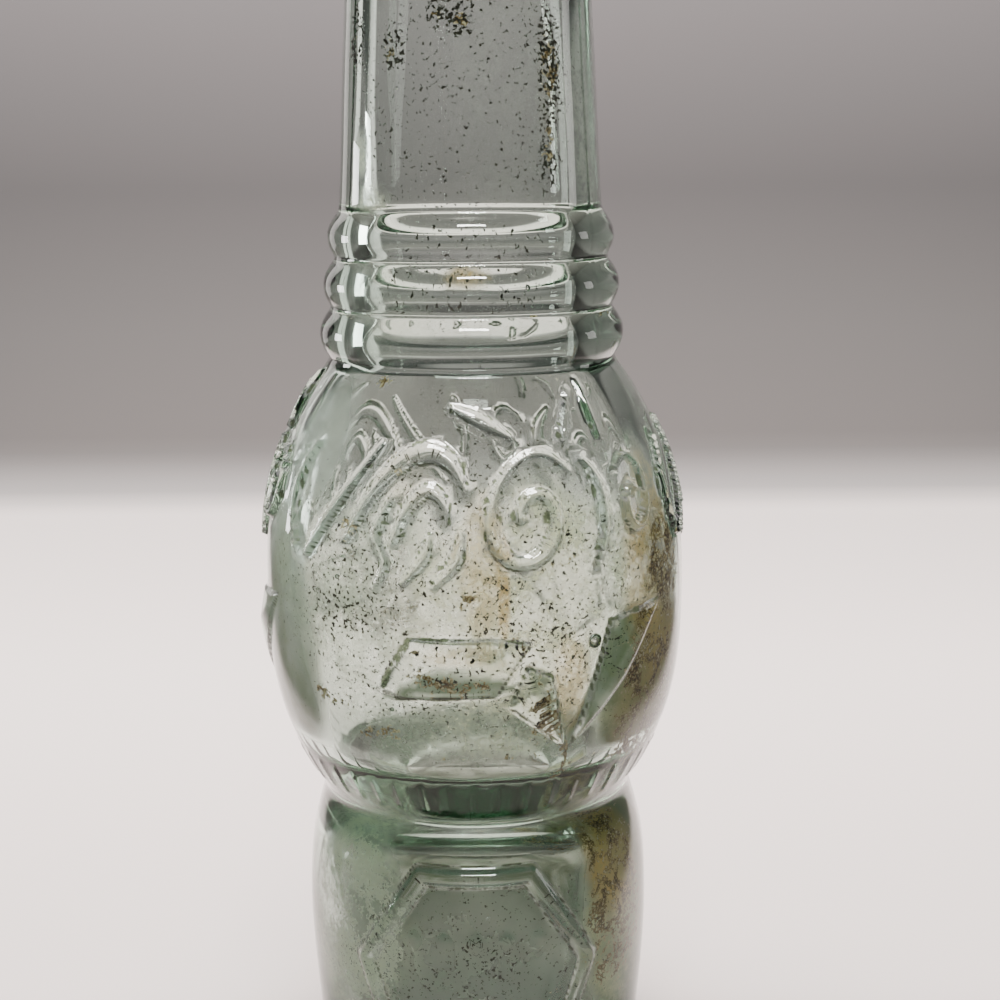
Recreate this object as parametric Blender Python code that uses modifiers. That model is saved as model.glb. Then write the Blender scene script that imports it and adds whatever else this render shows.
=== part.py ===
"""Soda bottle with a ringed neck, a wide bulb over a narrower lower body, and a crown closure.

The bottle is one turned glass wall with raised ornament. The closure is a fluted tinplate shell,
a cork disc and a thin foil spot. Metres, +Z up, standing on Z = 0, with the front facing -Y.
"""

import math

import bmesh
import bpy

# Heights of the glass, stacked from the standing surface up
HEEL_HEIGHT = 0.0052
LOBE_RISE = 0.0278
LOBE_FALL = 0.0193
BULB_RISE = 0.0277
SHOULDER_RISE = 0.03295
RING_PITCH = 0.0065
LOWER_NECK_HEIGHT = 0.0295
UPPER_NECK_HEIGHT = 0.0200
COLLAR_HEIGHT = 0.0066
UNDERCUT_HEIGHT = 0.0035
LIP_HEIGHT = 0.0050

# Outer radii of the glass
FOOT_INNER_RADIUS = 0.0158
FOOT_RADIUS = 0.0186
HEEL_RADIUS = 0.0224
LOBE_RADIUS = 0.0246
WAIST_RADIUS = 0.0213
BULB_RADIUS = 0.0293
SHOULDER_RADIUS = 0.0193
RING_RADII = (0.0208, 0.0202, 0.0194)
RING_DEPTH = 0.0015
NECK_FOOT_RADIUS = 0.0177
NECK_MID_RADIUS = 0.0162
NECK_TOP_RADIUS = 0.0136
COLLAR_RADIUS = 0.0142
UNDERCUT_RADIUS = 0.0124
LIP_RADIUS = 0.0133
BORE_RADIUS = 0.0080

# Walls, fillets and the base of the glass
FLOOR_THICKNESS = 0.0062
PUSH_UP_HEIGHT = 0.0026
FLOOR_CORNER = 0.0080
LOBE_WALL = 0.0041
WAIST_WALL = 0.0048
BULB_WALL = 0.0039
RING_BAND_WALL = 0.0042
NECK_WALL = 0.0036
BORE_DEPTH = 0.0150
GATHER = 0.0065
GATHER_BELOW = 0.0080
GATHER_ABOVE = 0.0090
WAIST_FILLET = 0.0014
RING_FILLET = 0.0004
LIP_EDGE = 0.0020
LIP_UNDER_EDGE = 0.0014
MOUTH_EDGE = 0.0012
COLLAR_EDGE = 0.0018

# How full each swell of the glass is: 2 is an arc, and more is squarer
LOBE_LOW_FULLNESS = 1.35
LOBE_TOP_FULLNESS = 2.6
BULB_LOW_FULLNESS = 2.7
BULB_TOP_FULLNESS = 2.6
RING_FULLNESS = 2.0

# Raised ornament, in as many like stretches round the bulb: a band of scrolls and leaves near the
# shoulder, a band of faceted blades below it, and bordered panels on the lower body
STRETCH_COUNT = 3
SCROLL_DROP = 0.01695
SCROLL_HALF_HEIGHT = 0.0080
SCROLL_RELIEF = 0.0009
BLADE_DROP = 0.0062
BLADE_HALF_HEIGHT = 0.0088
BLADE_RELIEF = 0.0014

# Strokes of the scroll band, as shares of the stretch, of the half height and of the stretch:
# across, up and half width at each point
STROKE_SHARES = (
    ((-0.276, -0.45, 0.0068), (-0.222, 0.30, 0.0179), (-0.160, 0.78, 0.0239),
     (-0.092, 0.94, 0.0247), (-0.041, 0.78, 0.0196), (-0.007, 0.36, 0.0060)),
    ((-0.048, 1.60, 0.0060), (0.024, 1.41, 0.0171), (0.099, 1.15, 0.0060)),
    ((0.283, 1.77, 0.0051), (0.249, 1.32, 0.0162), (0.229, 1.05, 0.0068)),
    ((0.334, 1.93, 0.0051), (0.334, 1.40, 0.0136), (0.338, 1.00, 0.0060)),
    ((-0.215, 1.05, 0.0051), (-0.324, -0.05, 0.0136), (-0.390, -0.78, 0.0077)),
    ((-0.203, -1.18, 0.0051), (-0.182, -0.75, 0.0119), (-0.205, -0.30, 0.0128), (-0.167, 0.33, 0.0051)),
    ((-0.017, -0.17, 0.0051), (-0.031, -0.68, 0.0162), (-0.078, -1.10, 0.0060)),
    ((-0.164, -0.47, 0.0051), (-0.140, 0.05, 0.0153), (-0.095, 0.38, 0.0179),
     (-0.058, 0.22, 0.0128), (-0.048, -0.10, 0.0051)),
    ((-0.084, -0.28, 0.0051), (-0.096, -0.63, 0.0145), (-0.140, -1.05, 0.0060)),
    ((0.266, 0.80, 0.0051), (0.300, 0.40, 0.0162), (0.304, -0.30, 0.0153), (0.273, -0.97, 0.0051)),
    ((-0.419, 0.95, 0.0051), (-0.460, 0.17, 0.0153), (-0.433, -0.75, 0.0051)),
)

# Volutes of the scroll band: middle, reach across, reach up and fattest half width, as the same
# shares, then the turn at which each starts and the turn that it makes, in degrees
VOLUTE_SHARES = (
    ((0.130, -0.07), 0.1125, 1.050, 0.0196, 40.0, 500.0),
    ((0.402, 0.05), 0.0614, 0.775, 0.0145, 150.0, -440.0),
)
VOLUTE_STEPS = 11
VOLUTE_SHRINK_SHARE = 0.80
VOLUTE_LEAN_SHARE = 0.15

# Outlines of the faceted blades, as shares of the stretch and of their half height, apex last
BLADE_SHARES = (
    ((-0.205, -0.05), (-0.159, -0.16), (0.050, -0.10), (0.126, 0.70), (0.036, 0.78), (-0.134, 0.78),
     (0.043, 0.41)),
    ((0.076, -0.27), (0.205, -1.00), (0.169, 0.18), (0.114, 0.34), (0.127, -0.07)),
    ((0.218, -1.00), (0.354, -0.07), (0.476, 1.00), (0.307, 0.89), (0.340, 0.39)),
)
PANEL_COUNT = 2
PANEL_TOP_HALF_WIDTH = 0.0088
PANEL_MID_HALF_WIDTH = 0.0178
PANEL_BOTTOM_HALF_WIDTH = 0.0100
PANEL_TOP_RISE = 0.0145
PANEL_BOTTOM_FALL = 0.0200
PANEL_BORDER = 0.0030
PANEL_RELIEF = 0.0007
RELIEF_ROOT = 0.0008

# The crown closure
FIT_GAP = 0.0003
SHELL_THICKNESS = 0.0003
SHELL_HEIGHT = 0.0069
SHELL_CORNER = 0.0016
FLUTE_COUNT = 24
FLUTE_DEPTH = 0.0013
CORK_THICKNESS = 0.0022
FOIL_THICKNESS = 0.00015
FOIL_RADIUS = 0.0104

# Steps of the turned shapes
GLASS_STEPS = 36
DISC_STEPS = 32
STEPS_PER_FLUTE = 4
MERGE_DISTANCE = 0.000001

FRONT = math.radians(-90.0)

LOBE_Z = HEEL_HEIGHT + LOBE_RISE
WAIST_Z = LOBE_Z + LOBE_FALL
BULB_Z = WAIST_Z + BULB_RISE
SHOULDER_Z = BULB_Z + SHOULDER_RISE
NECK_Z = SHOULDER_Z + RING_PITCH * len(RING_RADII)
NECK_MID_Z = NECK_Z + LOWER_NECK_HEIGHT
COLLAR_Z = NECK_MID_Z + UPPER_NECK_HEIGHT
UNDERCUT_Z = COLLAR_Z + COLLAR_HEIGHT
LIP_Z = UNDERCUT_Z + UNDERCUT_HEIGHT
MOUTH_Z = LIP_Z + LIP_HEIGHT


def clear_scene():
    """Remove every object of the start-up scene."""
    for obj in list(bpy.data.objects):
        bpy.data.objects.remove(obj, do_unlink=True)


def new_collection(name):
    """Return a new collection in the scene."""
    collection = bpy.data.collections.new(name)
    bpy.context.scene.collection.children.link(collection)
    return collection


def principled(name, color, roughness, metallic=0.0, transmission=0.0):
    """Return a material with one Principled BSDF."""
    material = bpy.data.materials.new(name)
    material.use_nodes = True
    shader = material.node_tree.nodes["Principled BSDF"]
    shader.inputs["Base Color"].default_value = (*color, 1.0)
    shader.inputs["Roughness"].default_value = roughness
    shader.inputs["Metallic"].default_value = metallic
    shader.inputs["Transmission Weight"].default_value = transmission
    return material


def add_object(name, mesh, collection, material=None):
    """Link a mesh to the scene as a named object."""
    obj = bpy.data.objects.new(name, mesh)
    collection.objects.link(obj)
    if material:
        mesh.materials.append(material)
    return obj


def shade_round(mesh):
    """Shade a mesh smooth, with its edges over 40 degrees kept sharp."""
    mesh.shade_smooth()
    mesh.set_sharp_from_angle(angle=math.radians(40.0))


def profile_mesh(name, points):
    """Return a mesh that is one open line through (radius, height) points."""
    mesh = bpy.data.meshes.new(name)
    edges = [(index, index + 1) for index in range(len(points) - 1)]
    mesh.from_pydata([(radius, 0.0, height) for radius, height in points], edges, [])
    return mesh


def turned(name, points, steps, collection, material):
    """Turn a profile, which runs down its outer side, about the Z axis."""
    obj = add_object(name, profile_mesh(name, points), collection, material)
    screw = obj.modifiers.new("Turn", 'SCREW')
    screw.axis = 'Z'
    screw.steps = steps
    screw.render_steps = steps
    screw.use_merge_vertices = True
    screw.merge_threshold = MERGE_DISTANCE
    return obj


def quarter(centre, radii, start, steps):
    """Return points of a quarter ellipse in (radius, height), turning clockwise from start."""
    angles = [start - math.pi / 2 * step / steps for step in range(steps + 1)]
    return [(centre[0] + radii[0] * math.cos(a), centre[1] + radii[1] * math.sin(a)) for a in angles]


def heights(high, low, steps):
    """Return evenly spaced heights from high down to low, without the last one."""
    return [high + (low - high) * step / steps for step in range(steps)]


def soft_max(first, second, fillet):
    """Return the larger of two radii, with their corner filled by a fillet."""
    return (first + second + math.hypot(first - second, fillet)) / 2


def swell(offset, length, radius, end_radius, fullness):
    """Return the radius of a swell at an offset from its widest point."""
    return radius - (radius - end_radius) * (abs(offset) / length) ** fullness


def lobe_radius(z):
    """Return the lower body's own radius at height z."""
    if z < LOBE_Z:
        return swell(z - LOBE_Z, LOBE_RISE, LOBE_RADIUS, HEEL_RADIUS, LOBE_LOW_FULLNESS)
    return swell(z - LOBE_Z, LOBE_FALL, LOBE_RADIUS, WAIST_RADIUS, LOBE_TOP_FULLNESS)


def bulb_radius(z):
    """Return the bulb's own radius at height z."""
    if z < BULB_Z:
        return swell(z - BULB_Z, BULB_RISE, BULB_RADIUS, WAIST_RADIUS, BULB_LOW_FULLNESS)
    return swell(z - BULB_Z, SHOULDER_RISE, BULB_RADIUS, SHOULDER_RADIUS, BULB_TOP_FULLNESS)


def eased(share):
    """Return a share from 0 to 1 that starts and ends level."""
    return (1 - math.cos(math.pi * share)) / 2


def neck_radius(z):
    """Return the neck's radius: a slow taper, then a gentle draw-in to the collar."""
    taper = (NECK_FOOT_RADIUS - NECK_MID_RADIUS) / LOWER_NECK_HEIGHT
    straight = NECK_FOOT_RADIUS - taper * (z - NECK_Z)
    if z < NECK_MID_Z:
        return straight
    end = NECK_FOOT_RADIUS - taper * (COLLAR_Z - NECK_Z)
    return straight - (end - NECK_TOP_RADIUS) * eased((z - NECK_MID_Z) / UPPER_NECK_HEIGHT)


def plain_radius(z):
    """Return the outer radius at height z without the rings."""
    if z <= SHOULDER_Z:
        return soft_max(lobe_radius(z), bulb_radius(z), WAIST_FILLET)
    if z < NECK_Z:
        share = (z - SHOULDER_Z) / (NECK_Z - SHOULDER_Z)
        return SHOULDER_RADIUS + (NECK_FOOT_RADIUS - SHOULDER_RADIUS) * share
    return neck_radius(z)


def outer_radius(z):
    """Return the outer radius at height z, with the three rings of the neck."""
    radius = plain_radius(z)
    half = RING_PITCH / 2
    for index, ring_radius in enumerate(RING_RADII):
        offset = z - SHOULDER_Z - RING_PITCH * index - half
        bead = swell(offset, half, ring_radius, ring_radius - RING_DEPTH, RING_FULLNESS)
        radius = soft_max(radius, bead, RING_FILLET)
    return radius


def gathered(z):
    """Return the extra thickness of the ring of glass that gathers inside the waist."""
    if z < WAIST_Z:
        share = 1 - (WAIST_Z - z) / GATHER_BELOW
    else:
        share = 1 - (z - WAIST_Z) / GATHER_ABOVE
    return GATHER * eased(max(share, 0.0))


def wall(z):
    """Return the wall's thickness at height z: straight runs between named places, and the ring."""
    places = (
        (HEEL_HEIGHT, LOBE_WALL),
        (LOBE_Z, LOBE_WALL),
        (WAIST_Z, WAIST_WALL),
        (BULB_Z, BULB_WALL),
        (SHOULDER_Z, RING_BAND_WALL),
        (NECK_Z, NECK_WALL),
        (COLLAR_Z, NECK_WALL),
    )
    for (low, low_wall), (high, high_wall) in zip(places, places[1:]):
        if z <= high:
            return low_wall + (high_wall - low_wall) * (z - low) / (high - low) + gathered(z)
    return NECK_WALL


def inner_radius(z):
    """Return the inner radius at height z, drawn in to the bore at the top."""
    bore_z = MOUTH_Z - BORE_DEPTH
    body = plain_radius(min(z, COLLAR_Z)) - wall(z)
    if z <= NECK_MID_Z:
        return body
    share = min((z - NECK_MID_Z) / (bore_z - NECK_MID_Z), 1.0)
    return body + (BORE_RADIUS - body) * eased(share)


def inside_points():
    """Return the inner wall from the middle of the floor up to the mouth."""
    floor_z = FLOOR_THICKNESS
    corner_z = floor_z + FLOOR_CORNER
    corner_radius = inner_radius(corner_z)
    points = [(0.0, floor_z + PUSH_UP_HEIGHT)]
    corner = quarter((corner_radius - FLOOR_CORNER, corner_z), (FLOOR_CORNER, FLOOR_CORNER), 0.0, 4)
    points += corner[::-1]
    gather_top = WAIST_Z + GATHER_ABOVE
    gather_foot = WAIST_Z - GATHER_BELOW
    levels = heights(NECK_MID_Z, SHOULDER_Z, 3) + heights(SHOULDER_Z, BULB_Z, 5)
    levels += heights(BULB_Z, gather_top, 3) + heights(gather_top, WAIST_Z, 5)
    levels += heights(WAIST_Z, gather_foot, 5) + heights(gather_foot, LOBE_Z, 2) + [LOBE_Z]
    points += [(inner_radius(z), z) for z in levels[::-1] if z > corner_z]
    draw_in = heights(MOUTH_Z - BORE_DEPTH, NECK_MID_Z, 5)
    points += [(inner_radius(z), z) for z in draw_in[::-1]]
    mouth = quarter((BORE_RADIUS + MOUTH_EDGE, MOUTH_Z - MOUTH_EDGE), (MOUTH_EDGE, MOUTH_EDGE), math.pi, 3)
    return points + mouth


def finish_points():
    """Return the crown finish from the top of the lip down to the foot of the collar."""
    lip = quarter((LIP_RADIUS - LIP_EDGE, MOUTH_Z - LIP_EDGE), (LIP_EDGE, LIP_EDGE), math.pi / 2, 3)
    under = (LIP_RADIUS - UNDERCUT_RADIUS, LIP_UNDER_EDGE)
    lip += quarter((UNDERCUT_RADIUS, LIP_Z + LIP_UNDER_EDGE), under, 0.0, 3)
    over = (COLLAR_RADIUS - UNDERCUT_RADIUS, COLLAR_EDGE)
    collar = quarter((UNDERCUT_RADIUS, UNDERCUT_Z - COLLAR_EDGE), over, math.pi / 2, 3)
    below = (COLLAR_RADIUS - NECK_TOP_RADIUS, COLLAR_EDGE)
    collar += quarter((NECK_TOP_RADIUS, COLLAR_Z + COLLAR_EDGE), below, 0.0, 3)
    return lip + collar


def outside_points():
    """Return the outer wall from below the collar down to the middle of the push-up."""
    levels = heights(COLLAR_Z, NECK_MID_Z, 5)[1:] + heights(NECK_MID_Z, NECK_Z, 3)
    levels += heights(NECK_Z, SHOULDER_Z, 6 * len(RING_RADII))
    levels += heights(SHOULDER_Z, BULB_Z, 9) + heights(BULB_Z, WAIST_Z, 10)
    levels += heights(WAIST_Z, LOBE_Z, 7) + heights(LOBE_Z, HEEL_HEIGHT, 4)
    points = [(outer_radius(z), z) for z in levels]
    heel_radius = outer_radius(HEEL_HEIGHT)
    points += quarter((FOOT_RADIUS, HEEL_HEIGHT), (heel_radius - FOOT_RADIUS, HEEL_HEIGHT), 0.0, 4)
    dome_steps = 3
    for step in range(dome_steps + 1):
        share = 1 - step / dome_steps
        points.append((FOOT_INNER_RADIUS * share, PUSH_UP_HEIGHT * (1 - share ** 2)))
    return points


def wrapped(source, angle, middle_z):
    """Bend flat relief round the body: x runs round it, y runs up it, z lifts off it."""
    for vertex in source.verts:
        across, up, lift = vertex.co
        z = middle_z + up
        radius = plain_radius(z)
        turn = angle + across / radius
        reach = radius + lift
        vertex.co = (reach * math.cos(turn), reach * math.sin(turn), z)


def raise_faces(shape, lift):
    """Lift a flat shape's faces off their root, with walls round them, and return the new faces."""
    raised = bmesh.ops.extrude_face_region(shape, geom=shape.faces[:])["geom"]
    corners = [item for item in raised if isinstance(item, bmesh.types.BMVert)]
    bmesh.ops.translate(shape, verts=corners, vec=(0.0, 0.0, lift))
    return [item for item in raised if isinstance(item, bmesh.types.BMFace)]


def finish_relief(shape, angle, middle_z):
    """Close a flat relief's faces into triangles and wrap it round the body."""
    bmesh.ops.recalc_face_normals(shape, faces=shape.faces)
    bmesh.ops.triangulate(shape, faces=shape.faces)
    wrapped(shape, angle, middle_z)
    return shape


def stretch_length(middle_z):
    """Return the length round the body of one stretch of ornament."""
    return math.tau * plain_radius(middle_z) / STRETCH_COUNT


def volute_points(middle, reach_across, reach_up, half_width, start, turn):
    """Return a volute's points as the shares that a stroke is written in."""
    points = []
    for step in range(VOLUTE_STEPS + 1):
        share = step / VOLUTE_STEPS
        reach = 1 - VOLUTE_SHRINK_SHARE * share
        angle = math.radians(start + turn * share)
        up = reach_up * reach * math.sin(angle)
        across = reach_across * reach * (math.cos(angle) + VOLUTE_LEAN_SHARE * math.sin(angle))
        fatness = max(math.sin(math.pi * share), VOLUTE_SHRINK_SHARE / 2)
        points.append((middle[0] + across, middle[1] + up, half_width * fatness))
    return points


def stroke(angle, middle_z, points):
    """Return one raised stroke of the scroll band: a plate that follows a line of points."""
    length = stretch_length(middle_z)
    line = [(across * length, up * SCROLL_HALF_HEIGHT, half * length) for across, up, half in points]
    shape = bmesh.new()
    sides = []
    for index, (across, up, half) in enumerate(line):
        before = line[max(index - 1, 0)]
        after = line[min(index + 1, len(line) - 1)]
        run = math.hypot(after[0] - before[0], after[1] - before[1])
        aside = (before[1] - after[1]) / run * half
        along = (after[0] - before[0]) / run * half
        sides.append([shape.verts.new((across + aside * side, up + along * side, -RELIEF_ROOT))
                      for side in (1, -1)])
    for (left, right), (next_left, next_right) in zip(sides, sides[1:]):
        shape.faces.new((left, right, next_right, next_left))
    shape.normal_update()
    raise_faces(shape, RELIEF_ROOT + SCROLL_RELIEF)
    return finish_relief(shape, angle, middle_z)


def blade(angle, middle_z, outline):
    """Return one faceted blade: a low wall round its outline, and slopes up to its apex."""
    length = stretch_length(middle_z)
    points = [(across * length, up * BLADE_HALF_HEIGHT, -RELIEF_ROOT) for across, up in outline]
    shape = bmesh.new()
    shape.faces.new([shape.verts.new(point) for point in points[:-1]])
    shape.normal_update()
    top = raise_faces(shape, RELIEF_ROOT + SCROLL_RELIEF / 2)
    apex = bmesh.ops.poke(shape, faces=top)["verts"][0]
    apex.co = (points[-1][0], points[-1][1], BLADE_RELIEF)
    bmesh.ops.subdivide_edges(shape, edges=apex.link_edges[:], cuts=1)
    return finish_relief(shape, angle, middle_z)


def panel_border(angle):
    """Return one six-sided raised border, wrapped round the lower body."""
    outline = (
        (-PANEL_TOP_HALF_WIDTH, PANEL_TOP_RISE),
        (-PANEL_MID_HALF_WIDTH, 0.0),
        (-PANEL_BOTTOM_HALF_WIDTH, -PANEL_BOTTOM_FALL),
        (PANEL_BOTTOM_HALF_WIDTH, -PANEL_BOTTOM_FALL),
        (PANEL_MID_HALF_WIDTH, 0.0),
        (PANEL_TOP_HALF_WIDTH, PANEL_TOP_RISE),
    )
    shape = bmesh.new()
    corners = [shape.verts.new((x, y, -RELIEF_ROOT)) for x, y in outline]
    middle = shape.faces.new(corners)
    shape.normal_update()
    bmesh.ops.inset_individual(shape, faces=[middle], thickness=PANEL_BORDER)
    bmesh.ops.delete(shape, geom=[middle], context='FACES_ONLY')
    bmesh.ops.subdivide_edges(shape, edges=shape.edges, cuts=2, use_grid_fill=True)
    raise_faces(shape, RELIEF_ROOT + PANEL_RELIEF)
    return finish_relief(shape, angle, LOBE_Z)


def relief_object(collection):
    """Return all raised ornament as one hidden object, ready to be joined to the glass."""
    whole = bpy.data.meshes.new("relief")
    joined = bmesh.new()
    shapes = []
    scroll_z = SHOULDER_Z - SCROLL_DROP
    blade_z = BULB_Z - BLADE_DROP
    for index in range(STRETCH_COUNT):
        angle = FRONT + math.tau * index / STRETCH_COUNT
        shapes += [stroke(angle, scroll_z, points) for points in STROKE_SHARES]
        shapes += [stroke(angle, scroll_z, volute_points(*volute)) for volute in VOLUTE_SHARES]
        shapes += [blade(angle, blade_z, outline) for outline in BLADE_SHARES]
    for index in range(PANEL_COUNT):
        shapes.append(panel_border(FRONT + math.tau * index / PANEL_COUNT))
    for shape in shapes:
        piece = bpy.data.meshes.new("relief_piece")
        shape.to_mesh(piece)
        shape.free()
        joined.from_mesh(piece)
        bpy.data.meshes.remove(piece)
    bmesh.ops.recalc_face_normals(joined, faces=joined.faces)
    joined.to_mesh(whole)
    joined.free()
    obj = add_object("relief", whole, collection)
    obj.hide_render = True
    obj.display_type = 'WIRE'
    return obj


def glass_bottle(parts, cutters):
    """Make the glass: one turned wall, joined with its raised ornament."""
    glass = principled("pale_green_glass", (0.70, 0.82, 0.76), 0.04, transmission=1.0)
    points = inside_points() + finish_points() + outside_points()
    bottle = turned("glass_bottle", points, GLASS_STEPS, parts, glass)
    join = bottle.modifiers.new("Ornament", 'BOOLEAN')
    join.operation = 'UNION'
    join.object = relief_object(cutters)
    return bottle


def disc_points(radius, low, high, edge):
    """Return a disc's profile, from the middle of its top to the middle of its underside."""
    points = [(0.0, high)]
    if edge:
        points += quarter((radius - edge, high - edge), (edge, edge), math.pi / 2, 3)
    else:
        points.append((radius, high))
    return points + [(radius, low), (0.0, low)]


def crown_shell(low, high, collection):
    """Make the tinplate shell: a turned cap whose skirt is pushed out into flutes."""
    tin = principled("tinplate", (0.62, 0.60, 0.56), 0.35, metallic=1.0)
    inside = LIP_RADIUS + FIT_GAP
    skirt_top = high - SHELL_CORNER
    points = [(0.0, high)]
    points += quarter((inside - SHELL_CORNER, skirt_top), (SHELL_CORNER, SHELL_CORNER), math.pi / 2, 3)
    skirt_steps = 4
    points += [(inside, z) for z in heights(skirt_top, low, skirt_steps)[1:]] + [(inside, low)]
    shape = bmesh.new()
    line = [shape.verts.new((radius, 0.0, z)) for radius, z in points]
    edges = [shape.edges.new(pair) for pair in zip(line, line[1:])]
    bmesh.ops.spin(shape, geom=line + edges, axis=(0.0, 0.0, 1.0), cent=(0.0, 0.0, 0.0),
                   steps=FLUTE_COUNT * STEPS_PER_FLUTE, angle=math.tau, use_merge=True)
    bmesh.ops.remove_doubles(shape, verts=shape.verts, dist=MERGE_DISTANCE)
    bmesh.ops.recalc_face_normals(shape, faces=shape.faces)
    for vertex in shape.verts:
        depth = min(max((skirt_top - vertex.co.z) / (skirt_top - low), 0.0), 1.0)
        wave = (1 + math.cos(FLUTE_COUNT * math.atan2(vertex.co.y, vertex.co.x))) / 2
        pushed = 1 + FLUTE_DEPTH * depth * wave / inside
        vertex.co.x *= pushed
        vertex.co.y *= pushed
    mesh = bpy.data.meshes.new("crown_shell")
    shape.to_mesh(mesh)
    shape.free()
    shade_round(mesh)
    obj = add_object("crown_shell", mesh, collection, tin)
    plate = obj.modifiers.new("Plate", 'SOLIDIFY')
    plate.thickness = SHELL_THICKNESS
    plate.offset = 1.0
    return obj


def crown_closure(collection):
    """Make the closure's three pieces, stacked on the lip with a gap between each."""
    foil_low = MOUTH_Z + FIT_GAP
    cork_low = foil_low + FOIL_THICKNESS + FIT_GAP
    shell_inside = cork_low + CORK_THICKNESS + FIT_GAP
    foil = principled("foil", (0.80, 0.80, 0.79), 0.30, metallic=1.0)
    cork = principled("cork", (0.42, 0.27, 0.15), 0.90)
    foil_disc = disc_points(FOIL_RADIUS, foil_low, foil_low + FOIL_THICKNESS, 0.0)
    turned("foil_spot", foil_disc, DISC_STEPS, collection, foil)
    cork_radius = LIP_RADIUS
    cork_disc = disc_points(cork_radius, cork_low, cork_low + CORK_THICKNESS, SHELL_CORNER)
    turned("cork_disc", cork_disc, DISC_STEPS, collection, cork)
    shell_low = shell_inside + SHELL_THICKNESS - SHELL_HEIGHT
    crown_shell(shell_low, shell_inside, collection)


clear_scene()
bottle_parts = new_collection("soda_bottle")
bottle_cutters = new_collection("soda_bottle_cutters")
glass_bottle(bottle_parts, bottle_cutters)
crown_closure(bottle_parts)
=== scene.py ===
"""A pale green glass soda bottle with a worn tin crown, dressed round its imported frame."""
import math

import bmesh
import bpy
import numpy as np
from mathutils import Matrix, Vector


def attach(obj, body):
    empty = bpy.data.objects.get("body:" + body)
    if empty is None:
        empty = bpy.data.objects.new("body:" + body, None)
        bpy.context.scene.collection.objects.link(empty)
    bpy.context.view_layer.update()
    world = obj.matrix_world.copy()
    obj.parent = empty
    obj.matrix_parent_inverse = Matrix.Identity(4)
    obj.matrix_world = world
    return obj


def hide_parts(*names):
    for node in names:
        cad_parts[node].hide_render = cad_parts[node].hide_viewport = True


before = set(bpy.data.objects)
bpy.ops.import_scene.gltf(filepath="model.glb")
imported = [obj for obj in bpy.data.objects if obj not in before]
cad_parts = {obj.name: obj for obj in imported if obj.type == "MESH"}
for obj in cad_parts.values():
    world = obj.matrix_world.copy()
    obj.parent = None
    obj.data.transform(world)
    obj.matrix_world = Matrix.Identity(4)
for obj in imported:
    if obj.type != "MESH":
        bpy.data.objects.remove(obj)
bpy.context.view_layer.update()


# The glass outside: one wall of pale green pressed glass, blown in a two-part mould. The neck
# rings, bulb, waist, scroll, blades and panels are all cut in the mould, so they are one
# surface. Heights are stacked from the foot up, in metres, and z is a height above the table.
HEEL_HEIGHT = 0.0052
LOBE_RISE = 0.0278
LOBE_FALL = 0.0193
BULB_RISE = 0.0277
SHOULDER_RISE = 0.03295
RING_PITCH = 0.0065
LOWER_NECK_HEIGHT = 0.0295
UPPER_NECK_HEIGHT = 0.0200
COLLAR_HEIGHT = 0.0066
UNDERCUT_HEIGHT = 0.0035
LIP_HEIGHT = 0.0050
LOBE_Z = HEEL_HEIGHT + LOBE_RISE
WAIST_Z = LOBE_Z + LOBE_FALL
BULB_Z = WAIST_Z + BULB_RISE
SHOULDER_Z = BULB_Z + SHOULDER_RISE

FOOT_INNER_RADIUS = 0.0158
FOOT_RADIUS = 0.0186
HEEL_RADIUS = 0.0224
LOBE_RADIUS = 0.0246
WAIST_RADIUS = 0.0213
BULB_RADIUS = 0.0293
SHOULDER_RADIUS = 0.0193
RING_RADII = (0.0208, 0.0202, 0.0194)
RING_DEPTH = 0.0015
NECK_FOOT_RADIUS = 0.0177
NECK_MID_RADIUS = 0.0162
NECK_TOP_RADIUS = 0.0136
COLLAR_RADIUS = 0.0142
UNDERCUT_RADIUS = 0.0124
LIP_RADIUS = 0.0133
WAIST_FILLET = 0.0014
RING_FILLET = 0.0004
LIP_EDGE = 0.0020
LIP_UNDER_EDGE = 0.0014
COLLAR_EDGE = 0.0018
PUSH_UP_HEIGHT = 0.0026
# How full each swell is: 2 is a plain arc, and more is flatter in the middle.
LOBE_LOW_FULLNESS = 1.35
LOBE_TOP_FULLNESS = 2.6
BULB_LOW_FULLNESS = 2.7
BULB_TOP_FULLNESS = 2.6
RING_FULLNESS = 2.0
# How far apart the rows of points lie, closer where the shape is finer.
NECK_ROW = 0.0022
RING_ROW = 0.00042
BULB_ROW = 0.0009
WAIST_ROW = 0.0006
LOBE_ROW = 0.0011
FOOT_ROW = 0.0018

NECK_Z = SHOULDER_Z + RING_PITCH * len(RING_RADII)
NECK_MID_Z = NECK_Z + LOWER_NECK_HEIGHT
COLLAR_Z = NECK_MID_Z + UPPER_NECK_HEIGHT
UNDERCUT_Z = COLLAR_Z + COLLAR_HEIGHT
LIP_Z = UNDERCUT_Z + UNDERCUT_HEIGHT
MOUTH_Z = LIP_Z + LIP_HEIGHT


def swell(offset, length, radius, end_radius, fullness):
    """Radius at an offset from the widest point of a swell. A fullness of 2 is an arc."""
    return radius - (radius - end_radius) * (np.abs(offset) / length) ** fullness


def soft_max(first, second, fillet):
    """The larger of two radii, with a fillet in the corner between them."""
    return (first + second + np.hypot(first - second, fillet)) / 2


def eased(share):
    """A share from 0 to 1 that starts and ends level."""
    share = np.clip(share, 0, 1)
    return share * share * (3 - 2 * share)


def neck_radius(z):
    """The neck's slow taper, then its draw-in to the collar."""
    taper = (NECK_FOOT_RADIUS - NECK_MID_RADIUS) / LOWER_NECK_HEIGHT
    end = NECK_FOOT_RADIUS - taper * (COLLAR_Z - NECK_Z)
    drawn_in = (end - NECK_TOP_RADIUS) * eased((z - NECK_MID_Z) / UPPER_NECK_HEIGHT)
    return NECK_FOOT_RADIUS - taper * (z - NECK_Z) - drawn_in


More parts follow.
